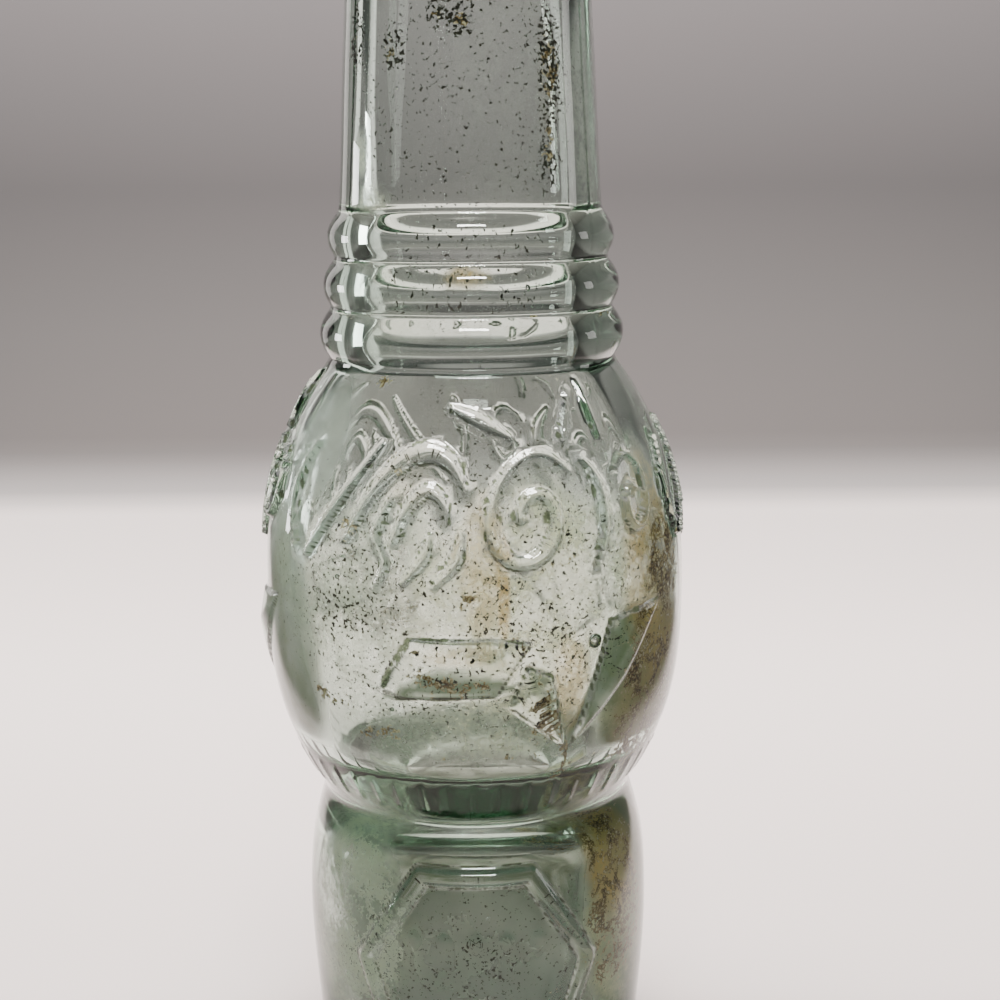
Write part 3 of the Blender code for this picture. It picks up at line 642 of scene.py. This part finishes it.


# Painted shade on the blades' facets, from the trails.
blade_shade = trails(BLADE_SHADE_TRAILS, *BLADE_SHADE_STRENGTH)
ring_away = np.abs(z - sum(CLEAN_RING) / 2) * 2 / (CLEAN_RING[1] - CLEAN_RING[0])
soiled = np.clip((ring_away - 1) / CLEAN_EDGE_SHARE, 0, 1)
soiled = np.maximum(soiled, eased((np.abs(azimuth) - SIDE_TURN) / SIDE_TURN_FADE) * (z < SIDE_TOP))
cut_off = (azimuth > DRIP_EDGE_TURN) & (azimuth < DRIP_EDGE_REACH)
cut_off &= (z > DRIP_EDGE_SPAN[0]) & (z < DRIP_EDGE_SPAN[1])
# Painted shade: a dark line outside along the foot of the ornament.
foot_shade = np.zeros(count)
foot_shade[on_wall] = foot
# The film and slime fields also carry the painted shade of the blades' facets.
fields = {
    "haze": field(HAZE_PATCHES) * soiled * (1 - BLADE_SHADE_HIDES_HAZE * blade_shade),
    "warmth": field(WARM_PATCHES),
    "stain": field(STAIN_PATCHES) * np.where(cut_off, 0.0, 1.0),
    "film_and_shade": np.maximum(field(FILM_AND_SHADE_PATCHES) * soiled, blade_shade),
    "slime_and_shade": np.maximum(field(SLIME_AND_SHADE_PATCHES) * soiled, BLADE_SHADE_SLIME_SHARE * blade_shade),
    "crust": np.maximum(field(CRUST_PATCHES), trails(RUST_TRAILS, *RUST_STRENGTH)),
    "specks": field(SPECK_PATCHES),
    "foot_shade": foot_shade}
for name, values in fields.items():
    glass_mesh.attributes.new(name, 'FLOAT', 'POINT').data.foreach_set("value", values)


# The seed bubbles: small round voids of gas that the melt left inside the wall.
# Each is its turn from the front, height, radius and how finely it is cut.
SEED_BUBBLES = (
    (34.0, 0.0786, 0.00098, 3), (-38.0, 0.087, 0.00032, 2), (-22.0, 0.0705, 0.0003, 2),
    (24.0, 0.123, 0.00032, 2), (-34.0, 0.148, 0.00022, 2), (4.0, 0.04, 0.00026, 2))

seeded = bmesh.new()
seeded.from_mesh(glass_mesh)
for turn, height, seed_radius, cuts in SEED_BUBBLES:
    mid_wall = (float(outer_radius(height)) + float(inner_radius(height))) / 2
    turned = math.radians(turn)
    middle = Matrix.Translation((mid_wall * math.sin(turned), -mid_wall * math.cos(turned), height))
    bubble = bmesh.ops.create_icosphere(seeded, subdivisions=cuts, radius=seed_radius, matrix=middle)
    shell = {face for vertex in bubble["verts"] for face in vertex.link_faces}
    bmesh.ops.reverse_faces(seeded, faces=list(shell))
    for face in shell:
        face.smooth = True
seeded.to_mesh(glass_mesh)
seeded.free()


# The glass's material: pale green glass that takes up light on its way through, under the layers
# of dirt and painted shade, each of which covers some of it. Noise breaks the fields up into grains.
GLASS_TINT = (0.40, 0.62, 0.465, 1.0)
GLASS_DENSITY = 68.0
CLEAR = (1.0, 1.0, 1.0, 1.0)
# The film and slime colours also paint shade on the blades' facets and the floor.
FILM_AND_SHADE_COLOR = (0.175, 0.216, 0.104, 1.0)
SLIME_AND_SHADE_COLOR = (0.040, 0.175, 0.080, 1.0)
COOL_HAZE_COLOR = (0.86, 0.89, 0.72, 1.0)
WARM_HAZE_COLOR = (0.94, 0.89, 0.58, 1.0)
STAIN_COLOR = (0.66, 0.41, 0.13, 1.0)
CURL_COLOR = (0.10, 0.10, 0.07, 1.0)
# Painted shade: the colour of the dark line along the foot of the ornament.
FOOT_SHADE_COLOR = (0.085, 0.105, 0.062, 1.0)
SPECK_COLOR = (0.022, 0.018, 0.010, 1.0)
CRUST_STOPS = (
    (0.38, (0.02, 0.012, 0.006)), (0.46, (0.085, 0.048, 0.018)),
    (0.54, (0.25, 0.16, 0.06)), (0.62, (0.62, 0.52, 0.33)))
# The share of the light that a full layer keeps from going through.
HAZE_COVER = 0.66
STAIN_COVER = 0.74
FILM_AND_SHADE_COVER = 0.92
SLIME_AND_SHADE_COVER = 0.96
FOOT_SHADE_COVER = 0.70
CLEAN_ROUGHNESS = 0.010
DIRT_ROUGHNESS = 0.9
GLASS_IOR = 1.52
# Noises, from fine grains to clouds and worm tracks: scale per metre, detail and distortion.
GLASS_NOISES = ((2600.0, 3.0), (1300.0, 4.0, 0.3), (430.0, 4.0, 0.6), (120.0, 4.0, 0.8), (620.0, 1.0, 1.6))
SPECK_NOISE = (2100.0, 2.0, 0.2)
# From where to where a value counts, and what share it then gives.
CRUST_SPAN = (3.22, 3.34)
SPECK_SPAN = (0.628, 0.646)
HAZE_SPAN = (0.42, 0.58, 0.42, 0.95)
STAIN_SPAN = (0.40, 0.58, 0.45, 0.95)
FILM_AND_SHADE_SPAN = (0.30, 0.60, 0.75, 1.0)
CURL_LINE_SPAN = (0.004, 0.016, 1.0, 0.0)
CURL_SPAN = (0.52, 0.58, 0.0, 0.75)
FOOT_SHADE_SPAN = (0.38, 0.60, 0.10, 0.70)


def new_material(name):
    """A material and its Principled shader node."""
    material = bpy.data.materials.new(name)
    material.use_nodes = True
    return material, material.node_tree.nodes["Principled BSDF"]


def set_inputs(owner, node, inputs):
    """Set a node's inputs to values, or link them from sockets."""
    for key, value in dict(inputs).items():
        if isinstance(value, bpy.types.NodeSocket):
            owner.node_tree.links.new(value, node.inputs[key])
        else:
            node.inputs[key].default_value = value


def add_node(material, kind, inputs=(), **settings):
    """A new node with its settings and inputs."""
    made = material.node_tree.nodes.new(kind)
    for key, value in settings.items():
        setattr(made, key, value)
    set_inputs(material, made, inputs)
    return made


def object_place(material):
    """The place of a point in its object's own frame."""
    return add_node(material, "ShaderNodeTexCoord").outputs["Object"]


def noise(material, place, scale, detail, distortion=0.0):
    """A noise value about 0.5 at a scale per metre."""
    inputs = {"Vector": place, "Scale": scale, "Detail": detail, "Roughness": 0.6,
              "Distortion": distortion}
    return add_node(material, "ShaderNodeTexNoise", inputs).outputs["Fac"]


def calculate(material, operation, first, second, clamp=False):
    """The result of one Math node."""
    return add_node(material, "ShaderNodeMath", {0: first, 1: second},
                    operation=operation, use_clamp=clamp).outputs["Value"]


def times(material, first, second):
    """Two values multiplied."""
    return calculate(material, 'MULTIPLY', first, second)


def between(material, value, low, high, start=0.0, end=1.0):
    """A value eased from start to end as it goes from low to high."""
    inputs = {"Value": value, "From Min": low, "From Max": high, "To Min": start, "To Max": end}
    made = add_node(material, "ShaderNodeMapRange", inputs, interpolation_type='SMOOTHSTEP')
    return made.outputs["Result"]


def blend_color(material, share, first, second):
    """Two colours mixed by a share."""
    made = add_node(material, "ShaderNodeMix", {0: share, 6: first, 7: second}, data_type='RGBA')
    return made.outputs[2]


def mix_of(material, *weighted):
    """A weighted sum of values."""
    total = 0.0
    for value, weight in weighted:
        total = calculate(material, 'ADD', total, times(material, value, weight))
    return total


def color_by(material, value, stops):
    """A value turned into a colour by stops of a position and a colour."""
    made = add_node(material, "ShaderNodeValToRGB", {"Fac": value})
    elements = made.color_ramp.elements
    while len(elements) < len(stops):
        elements.new(0.5)
    for element, (position, color) in zip(elements, stops):
        element.position = position
        element.color = (*color, 1.0)
    return made.outputs["Color"]


def raise_grain(material, shader, height, distance, strength, **settings):
    """Let a value stand up from the surface as fine relief."""
    inputs = {"Height": height, "Distance": distance, "Strength": strength}
    made = add_node(material, "ShaderNodeBump", inputs, **settings)
    set_inputs(material, shader, {"Normal": made.outputs["Normal"]})


def on_wall_field(name):
    """One of the dirt fields, read from the mesh."""
    return add_node(glass, "ShaderNodeAttribute", attribute_name=name).outputs["Fac"]


glass, glass_shader = new_material("pale green glass")
place = object_place(glass)
fine, grit, clump, cloud, worm = (noise(glass, place, *kind) for kind in GLASS_NOISES)

crust_grain = mix_of(glass, (clump, 2.2), (grit, 1.6), (fine, 1.0), (on_wall_field("crust"), 1.0))
crust_share = between(glass, crust_grain, *CRUST_SPAN)
speck_grain = mix_of(glass, (noise(glass, place, *SPECK_NOISE), 0.72),
                     (on_wall_field("specks"), 0.16), (cloud, 0.12))
speck_share = between(glass, speck_grain, *SPECK_SPAN)
haze_grain = mix_of(glass, (cloud, 0.42), (clump, 0.32), (grit, 0.18), (fine, 0.08))
haze_share = times(glass, on_wall_field("haze"), between(glass, haze_grain, *HAZE_SPAN))
curl = calculate(glass, 'ABSOLUTE', calculate(glass, 'SUBTRACT', worm, 0.5), 0.0)
curl = times(glass, between(glass, curl, *CURL_LINE_SPAN), on_wall_field("haze"))
curl_share = times(glass, curl, between(glass, clump, *CURL_SPAN))
stain_share = times(glass, between(glass, on_wall_field("stain"), 0.05, 1.0),
                    between(glass, haze_grain, *STAIN_SPAN))
film_and_shade_share = times(glass, on_wall_field("film_and_shade"), between(glass, cloud, *FILM_AND_SHADE_SPAN))
slime_and_shade_share = on_wall_field("slime_and_shade")
# The dark line of painted shade along the ornament's foot, broken up by noise.
foot_shade_share = times(glass, on_wall_field("foot_shade"), between(glass, clump, *FOOT_SHADE_SPAN))

haze_color = blend_color(glass, on_wall_field("warmth"), COOL_HAZE_COLOR, WARM_HAZE_COLOR)
crust_color = color_by(glass, mix_of(glass, (grit, 0.5), (fine, 0.5)), CRUST_STOPS)
layers = ((film_and_shade_share, FILM_AND_SHADE_COLOR), (slime_and_shade_share, SLIME_AND_SHADE_COLOR), (haze_share, haze_color),
          (stain_share, STAIN_COLOR), (curl_share, CURL_COLOR),
          (between(glass, foot_shade_share, 0.02, 0.35), FOOT_SHADE_COLOR),
          (crust_share, crust_color), (speck_share, SPECK_COLOR))
color = CLEAR
for share, layer_color in layers:
    color = blend_color(glass, share, color, layer_color)

solid = calculate(glass, 'MAXIMUM', crust_share, speck_share)
covers = ((haze_share, HAZE_COVER), (stain_share, STAIN_COVER), (film_and_shade_share, FILM_AND_SHADE_COVER),
          (curl_share, 1.0), (slime_and_shade_share, SLIME_AND_SHADE_COVER))
for share, cover in covers:
    solid = calculate(glass, 'MAXIMUM', solid, times(glass, share, cover))
blocked = calculate(glass, 'MAXIMUM', solid, times(glass, foot_shade_share, FOOT_SHADE_COVER))
rough = times(glass, calculate(glass, 'POWER', solid, 2.0), DIRT_ROUGHNESS)
set_inputs(glass, glass_shader, {
    "Base Color": color, "IOR": GLASS_IOR,
    "Transmission Weight": calculate(glass, 'SUBTRACT', 1.0, blocked, True),
    "Roughness": calculate(glass, 'ADD', rough, CLEAN_ROUGHNESS, True)})
raise_grain(glass, glass_shader, solid, 0.00010, 0.35)
tint = add_node(glass, "ShaderNodeVolumeAbsorption", {"Color": GLASS_TINT, "Density": GLASS_DENSITY})
set_inputs(glass, glass.node_tree.nodes["Material Output"], {"Volume": tint.outputs[0]})
glass_mesh.materials.append(glass)
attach(glass_bottle, "bottle")
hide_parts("glass_bottle")


# The crown shell: a cap drawn from tinplate, whose skirt is pressed into flutes that flare to the
# rim. It has worn bare and dull, and rust has started along the rim, where water stood.
FIT_GAP = 0.0003
SHELL_THICKNESS = 0.0003
SHELL_HEIGHT = 0.0069
SHELL_CORNER = 0.0016
FLUTE_COUNT = 24
FLUTE_DEPTH = 0.0013
FLUTE_SHARPNESS = 1.5
STEPS_PER_FLUTE = 16
CORK_THICKNESS = 0.0022
FOIL_THICKNESS = 0.00015
SKIRT_ROW = 0.00035
RUST_REACH = 0.0032
FLARE_POWER = 0.85
FLUTE_RISE_SHARE = 0.97
TIN_ROUGHNESS = 0.12
BLOTCH_NOISE = (240.0, 5.0, 0.5)
TIN_GRAIN_NOISE = (1900.0, 4.0)
RIM_RUST = 0.17
RUST_SPAN = (0.585, 0.655)
TIN_TONE_SPAN = (0.36, 0.62)
RUST_TONE_SPAN = (0.38, 0.62)
DULL_TIN = (0.36, 0.345, 0.315, 1.0)
BRIGHT_TIN = (0.60, 0.58, 0.54, 1.0)
DARK_RUST = (0.060, 0.024, 0.010, 1.0)
PALE_RUST = (0.270, 0.105, 0.035, 1.0)

foil_low = MOUTH_Z + FIT_GAP
cork_low = foil_low + FOIL_THICKNESS + FIT_GAP
cork_top = cork_low + CORK_THICKNESS
shell_inside = cork_top + FIT_GAP
shell_top = shell_inside + SHELL_THICKNESS
rim_z = shell_top - SHELL_HEIGHT
skirt_radius = LIP_RADIUS + FIT_GAP
skirt_top = shell_inside - SHELL_CORNER


def spun(name, line, columns):
    """A closed mesh made by spinning a line of (radius, height) about the axis."""
    body = bmesh.new()
    spin(body, [body.verts.new((across, 0.0, up)) for across, up in line], columns)
    return smooth_mesh(body, name)


def crown_piece(name, mesh, material, node):
    """A finished piece of the crown, in place of its node in the frame."""
    mesh.materials.append(material)
    piece = placed(name, mesh)
    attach(piece, "crown")
    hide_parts(node)


corner_centre = (skirt_radius - SHELL_CORNER, skirt_top)
outer_corner = SHELL_CORNER + SHELL_THICKNESS
skirt_rows = rows(skirt_top, rim_z + SHELL_THICKNESS / 2, SKIRT_ROW)[1:]
shell_line = [(corner_centre[0] * share, shell_top) for share in (0.0, 0.35, 0.7, 0.9)]
shell_line += quarter(corner_centre, (outer_corner, outer_corner), math.pi / 2, 9)
shell_line += [(skirt_radius + SHELL_THICKNESS, z) for z in skirt_rows]
rim_middle = (skirt_radius + SHELL_THICKNESS / 2, rim_z + SHELL_THICKNESS / 2)
shell_line += quarter(rim_middle, (SHELL_THICKNESS / 2, SHELL_THICKNESS / 2), 0.0, 3)
shell_line += quarter(rim_middle, (SHELL_THICKNESS / 2, SHELL_THICKNESS / 2), -math.pi / 2, 3)[1:]
shell_line += [(skirt_radius, z) for z in skirt_rows[::-1]]
shell_line += quarter(corner_centre, (SHELL_CORNER, SHELL_CORNER), math.pi / 2, 7)[::-1]
shell_line += [(corner_centre[0] * share, shell_inside) for share in (0.8, 0.4, 0.0)]
shell_mesh = spun("crown_shell", shell_line, FLUTE_COUNT * STEPS_PER_FLUTE)
spots = np.empty(len(shell_mesh.vertices) * 3)
shell_mesh.vertices.foreach_get("co", spots)
spots = spots.reshape(-1, 3)
down = np.clip((skirt_top - spots[:, 2]) / (skirt_top - rim_z), 0, 1) ** FLARE_POWER
wave = ((1 + np.cos(FLUTE_COUNT * np.arctan2(spots[:, 1], spots[:, 0]))) / 2) ** FLUTE_SHARPNESS
spots[:, :2] *= (1 + FLUTE_DEPTH * down * wave / skirt_radius * FLUTE_RISE_SHARE)[:, None]
shell_mesh.vertices.foreach_set("co", spots.ravel())
shell_mesh.update()

tin, tin_shader = new_material("worn tinplate")
tin_place = object_place(tin)
tin_height = add_node(tin, "ShaderNodeSeparateXYZ", {"Vector": tin_place}).outputs["Z"]
blotch = noise(tin, tin_place, *BLOTCH_NOISE)
tin_grain = noise(tin, tin_place, *TIN_GRAIN_NOISE)
near_rim = between(tin, tin_height, rim_z + RUST_REACH, rim_z, 0.0, RIM_RUST)
rust_grain = mix_of(tin, (blotch, 0.65), (tin_grain, 0.35), (near_rim, 1.0))
rust_share = between(tin, rust_grain, *RUST_SPAN)
tin_color = blend_color(tin, between(tin, blotch, *TIN_TONE_SPAN), DULL_TIN, BRIGHT_TIN)
rust_color = blend_color(tin, between(tin, tin_grain, *RUST_TONE_SPAN), DARK_RUST, PALE_RUST)
tin_rough = mix_of(tin, (rust_share, 0.42), (blotch, 0.20), (tin_grain, 0.30))
set_inputs(tin, tin_shader, {
    "Base Color": blend_color(tin, rust_share, tin_color, rust_color),
    "Metallic": calculate(tin, 'SUBTRACT', 1.0, rust_share, True),
    "Roughness": calculate(tin, 'ADD', tin_rough, TIN_ROUGHNESS, True)})
raise_grain(tin, tin_shader, mix_of(tin, (tin_grain, 0.4), (rust_share, 0.8)), 0.00006, 0.6)
crown_piece("tin_shell", shell_mesh, tin, "crown_shell")


# The cork: a disc of pressed cork grains under the shell, with the lip's round print in its
# underside. It is cut from a rod of glued grains, so the grains show as a close pattern.
LIP_PRINT_DEPTH = 0.00012
LIP_PRINT_HALF_WIDTH = 0.0012
CORK_EDGE = 0.0002
CORK_GRAINS = 900.0
DARK_GRAIN = (0.190, 0.100, 0.045, 1.0)
PALE_GRAIN = (0.430, 0.275, 0.145, 1.0)
GLUE_COLOR = (0.070, 0.036, 0.018, 1.0)
FLECK_COLOR = (0.060, 0.030, 0.015, 1.0)
cork_line = [(LIP_RADIUS * share, cork_top) for share in (0.0, 0.3, 0.6)]
cork_line += quarter((LIP_RADIUS - SHELL_CORNER, cork_top - SHELL_CORNER),
                     (SHELL_CORNER, SHELL_CORNER), math.pi / 2, 8)
cork_line += quarter((LIP_RADIUS - CORK_EDGE, cork_low + CORK_EDGE), (CORK_EDGE, CORK_EDGE), 0.0, 4)
for step in range(1, 25):
    share = 1 - step / 24
    from_print = (LIP_RADIUS * share - BORE_RADIUS - 2 * LIP_PRINT_HALF_WIDTH) / LIP_PRINT_HALF_WIDTH
    printed = LIP_PRINT_DEPTH * math.exp(-from_print ** 2)
    cork_line.append(((LIP_RADIUS - CORK_EDGE) * share, cork_low + printed))
cork, cork_shader = new_material("pressed cork")
cork_place = object_place(cork)
grain_inputs = {"Vector": cork_place, "Scale": CORK_GRAINS}
grains = add_node(cork, "ShaderNodeTexVoronoi", grain_inputs, feature='F1')
gaps = add_node(cork, "ShaderNodeTexVoronoi", grain_inputs, feature='DISTANCE_TO_EDGE')
grain_tone = add_node(cork, "ShaderNodeSeparateColor", {"Color": grains.outputs["Color"]}).outputs["Red"]
cork_color = blend_color(cork, grain_tone, DARK_GRAIN, PALE_GRAIN)
cork_gap = between(cork, gaps.outputs["Distance"], 0.0, 0.09, 1.0, 0.0)
cork_color = blend_color(cork, times(cork, cork_gap, 0.8), cork_color, GLUE_COLOR)
cork_fleck = between(cork, noise(cork, cork_place, 2600.0, 3.0), 0.60, 0.66, 0.0, 0.7)
cork_color = blend_color(cork, cork_fleck, cork_color, FLECK_COLOR)
set_inputs(cork, cork_shader, {"Base Color": cork_color, "Roughness": 0.92})
raise_grain(cork, cork_shader, cork_gap, 0.00010, 0.7, invert=True)
crown_piece("cork_liner", spun("cork_liner", cork_line, 128), cork, "cork_disc")


# The foil: a thin plain disc of metal leaf stuck under the cork, which keeps the drink off it.
# Pressing on the lip has crinkled it a little.
FOIL_RADIUS = 0.0104
FOIL_COLOR = (0.80, 0.80, 0.79, 1.0)
foil_line = [(FOIL_RADIUS * share, foil_low + FOIL_THICKNESS) for share in (0.0, 0.5, 0.9, 1.0)]
foil_line += [(FOIL_RADIUS * share, foil_low) for share in (1.0, 0.9, 0.5, 0.0)]
foil, foil_shader = new_material("plain foil")
foil_place = object_place(foil)
creases = add_node(foil, "ShaderNodeTexVoronoi", {"Vector": foil_place, "Scale": 420.0}, feature='F1')
foil_relief = mix_of(foil, (creases.outputs["Distance"], 0.7),
                     (noise(foil, foil_place, 700.0, 3.0, 0.8), 0.6))
raise_grain(foil, foil_shader, foil_relief, 0.00025, 0.7)
set_inputs(foil, foil_shader, {"Base Color": FOIL_COLOR, "Metallic": 1.0, "Roughness": 0.26})
foil_mesh = spun("foil", foil_line, 128)
foil_mesh.shade_flat()
crown_piece("foil_leaf", foil_mesh, foil, "foil_spot")


# The studio: a pale paper table that ends in a soft curve against a faintly mauve backdrop.
# Clear glass shows what stands round it, so shade is painted into the paper: it greys up the
# backdrop, before the bottle and beyond a lit strip behind it, as in an unlit room, and has a pale
# band of painted window light at the left, where a window stands.
TABLE_REACH = 0.42
TABLE_FRONT = -0.60
TABLE_HALF_WIDTH = 1.10
LIT_HALF_WIDTH = 0.088
LIT_SPREAD = 0.330
LIT_EDGE = 0.05
BACKDROP_HEIGHT = 0.90
SWEEP_RADIUS = 0.03
# The paper's colour by its height: its pale tint on the table, then painted shade that darkens
# it up the backdrop.
PAPER_TINT_AND_SHADE_STOPS = (
    (0.0, (0.63, 0.55, 0.525)), (0.006, (0.26, 0.24, 0.234)), (0.022, (0.128, 0.118, 0.115)),
    (0.075, (0.11, 0.103, 0.101)), (0.135, (0.078, 0.073, 0.073)), (0.215, (0.12, 0.11, 0.111)),
    (0.26, (0.02, 0.02, 0.02)))
# Painted shade: the front and middle tones grey the table toward its front, the unlit one beyond the lit
# strip.
FRONT_SHADE_TONE = (0.26, 0.26, 0.26, 1.0)
MIDDLE_SHADE_TONE = (0.72, 0.72, 0.72, 1.0)
UNLIT_TONE = (0.13, 0.13, 0.13, 1.0)
# Painted light: the pale band of window light on the backdrop at the left.
PAINTED_WINDOW_LIGHT_TONE = (0.62, 0.60, 0.585, 1.0)
# Where one tone gives way to the next: along y for the first two, x for two, z for the last.
MIDDLE_SHADE_SPAN = (0.0, 0.24)
FRONT_SHADE_SPAN = (-0.015, 0.034)
WINDOW_RIGHT_SPAN = (-0.245, -0.275)
WINDOW_LEFT_SPAN = (-0.45, -0.40)
TABLE_TOP_SPAN = (0.002, 0.030)

stage_shape = bmesh.new()
stage_line = [(TABLE_FRONT, 0.0)]
stage_line += [(TABLE_REACH * share, 0.0) for share in (0.0, 0.5, 0.8)]
for step in range(9):
    turn = math.pi / 2 * step / 8
    stage_line.append((TABLE_REACH + SWEEP_RADIUS * math.sin(turn), SWEEP_RADIUS * (1 - math.cos(turn))))
stage_line += [(TABLE_REACH + SWEEP_RADIUS, BACKDROP_HEIGHT)]
stage_verts = [stage_shape.verts.new((-TABLE_HALF_WIDTH, y, z)) for y, z in stage_line]
stage_edges = [stage_shape.edges.new(pair) for pair in zip(stage_verts, stage_verts[1:])]
swept = bmesh.ops.extrude_edge_only(stage_shape, edges=stage_edges)["geom"]
far_side = [item for item in swept if isinstance(item, bmesh.types.BMVert)]
bmesh.ops.translate(stage_shape, verts=far_side, vec=(2 * TABLE_HALF_WIDTH, 0.0, 0.0))
bmesh.ops.recalc_face_normals(stage_shape, faces=stage_shape.faces)
stage_mesh = smooth_mesh(stage_shape, "table_and_backdrop")
studio = placed("table_and_backdrop", stage_mesh)
paper, paper_shader = new_material("pale paper")
paper_axes = add_node(paper, "ShaderNodeSeparateXYZ", {"Vector": object_place(paper)})
along, back, up = (paper_axes.outputs[axis] for axis in "XYZ")
# Painted shade: the table greys toward its front, most just before the bottle.
paper_color = blend_color(paper, between(paper, back, *MIDDLE_SHADE_SPAN), MIDDLE_SHADE_TONE, CLEAR)
paper_color = blend_color(paper, between(paper, back, *FRONT_SHADE_SPAN), FRONT_SHADE_TONE, paper_color)
on_table = between(paper, up, *TABLE_TOP_SPAN, 1.0, 0.0)
# Painted shade on the table beyond the lit strip.
aside = calculate(paper, 'ABSOLUTE', along, 0.0)
beyond = calculate(paper, 'SUBTRACT', aside, times(paper, back, LIT_SPREAD))
unlit = times(paper, between(paper, beyond, LIT_HALF_WIDTH, LIT_HALF_WIDTH + LIT_EDGE), on_table)
paper_color = blend_color(paper, unlit, paper_color, UNLIT_TONE)
# Painted shade: the paper darkens up the backdrop.
tint_and_shade_by_height = color_by(paper, up, PAPER_TINT_AND_SHADE_STOPS)
paper_color = add_node(paper, "ShaderNodeMix", {0: 1.0, 6: paper_color, 7: tint_and_shade_by_height},
                       data_type='RGBA', blend_type='MULTIPLY').outputs[2]
# Painted window light on the backdrop at the left, off the table.
painted_window_light = times(paper, between(paper, along, *WINDOW_RIGHT_SPAN),
               between(paper, along, *WINDOW_LEFT_SPAN))
painted_window_light = times(paper, painted_window_light, calculate(paper, 'SUBTRACT', 1.0, on_table))
paper_color = blend_color(paper, painted_window_light, paper_color, PAINTED_WINDOW_LIGHT_TONE)
set_inputs(paper, paper_shader, {"Base Color": paper_color, "Roughness": 0.9, "Specular IOR Level": 0.1})
stage_mesh.materials.append(paper)


# The light: a small window light at the left and behind, a weaker one at the right, a broad soft
# light overhead, a narrow one high in front, and a dim, even, pale surround.
BOTTLE_MIDDLE = (0.0, 0.0, 0.09)
# A light's name, place, aim, width, height, power in watts and colour.
LIGHTS = (
    ("window_light", (-0.75, 0.38, 0.11), BOTTLE_MIDDLE, 0.15, 0.19, 1.5, (1.0, 0.985, 0.97)),
    ("right_light", (0.80, 0.16, 0.20), BOTTLE_MIDDLE, 0.14, 0.24, 0.35, (1.0, 0.97, 0.94)),
    ("overhead_light", (-0.03, -0.03, 0.85), (0.0, 0.06, 0.0), 0.40, 0.28, 35.0, (1.0, 0.98, 0.965)),
    ("front_light", (0.02, -0.50, 0.76), BOTTLE_MIDDLE, 0.26, 0.07, 7.0, (1.0, 0.98, 0.95)))
SURROUND_COLOR = (0.86, 0.83, 0.81, 1.0)
SURROUND_STRENGTH = 0.13
for name, place, aim, width, height, power, light_color in LIGHTS:
    lamp = bpy.data.lights.new(name, 'AREA')
    lamp.shape = 'RECTANGLE'
    lamp.size = width
    lamp.size_y = height
    lamp.energy = power
    lamp.color = light_color
    holder = placed(name, lamp)
    holder.location = place
    holder.rotation_euler = (Vector(aim) - Vector(place)).to_track_quat('-Z', 'Y').to_euler()

surround = bpy.data.worlds.new("pale surround")
surround.use_nodes = True
set_inputs(surround, surround.node_tree.nodes["Background"],
           {"Color": SURROUND_COLOR, "Strength": SURROUND_STRENGTH})
bpy.context.scene.world = surround


# The camera: close in front of the bottle, at the height of its shoulder, looking down a little.
CAMERA_DISTANCE = 0.2145
CAMERA_HEIGHT = 0.1360
CAMERA_SHIFT = 0.0037
CAMERA_PITCH = math.radians(11.5)
CAMERA_ROLL = math.radians(-0.49)
FOCAL_PIXELS = 1550.0
IMAGE_PIXELS = 1000.0
SENSOR_MILLIMETRES = 36.0

lens = bpy.data.cameras.new("camera")
lens.sensor_width = SENSOR_MILLIMETRES
lens.lens = FOCAL_PIXELS / IMAGE_PIXELS * SENSOR_MILLIMETRES
lens.clip_start = 0.01
camera = placed("camera", lens)
stand = Matrix.Translation((CAMERA_SHIFT, -CAMERA_DISTANCE, CAMERA_HEIGHT))
turned_down = Matrix.Rotation(math.pi / 2 - CAMERA_PITCH, 4, 'X')
camera.matrix_world = stand @ turned_down @ Matrix.Rotation(CAMERA_ROLL, 4, 'Z')
bpy.context.scene.camera = camera

# Light goes round and round inside thick glass, so its paths are let run longer than usual.
bpy.context.scene.cycles.max_bounces = 20
bpy.context.scene.cycles.glossy_bounces = 16
bpy.context.scene.cycles.transmission_bounces = 20
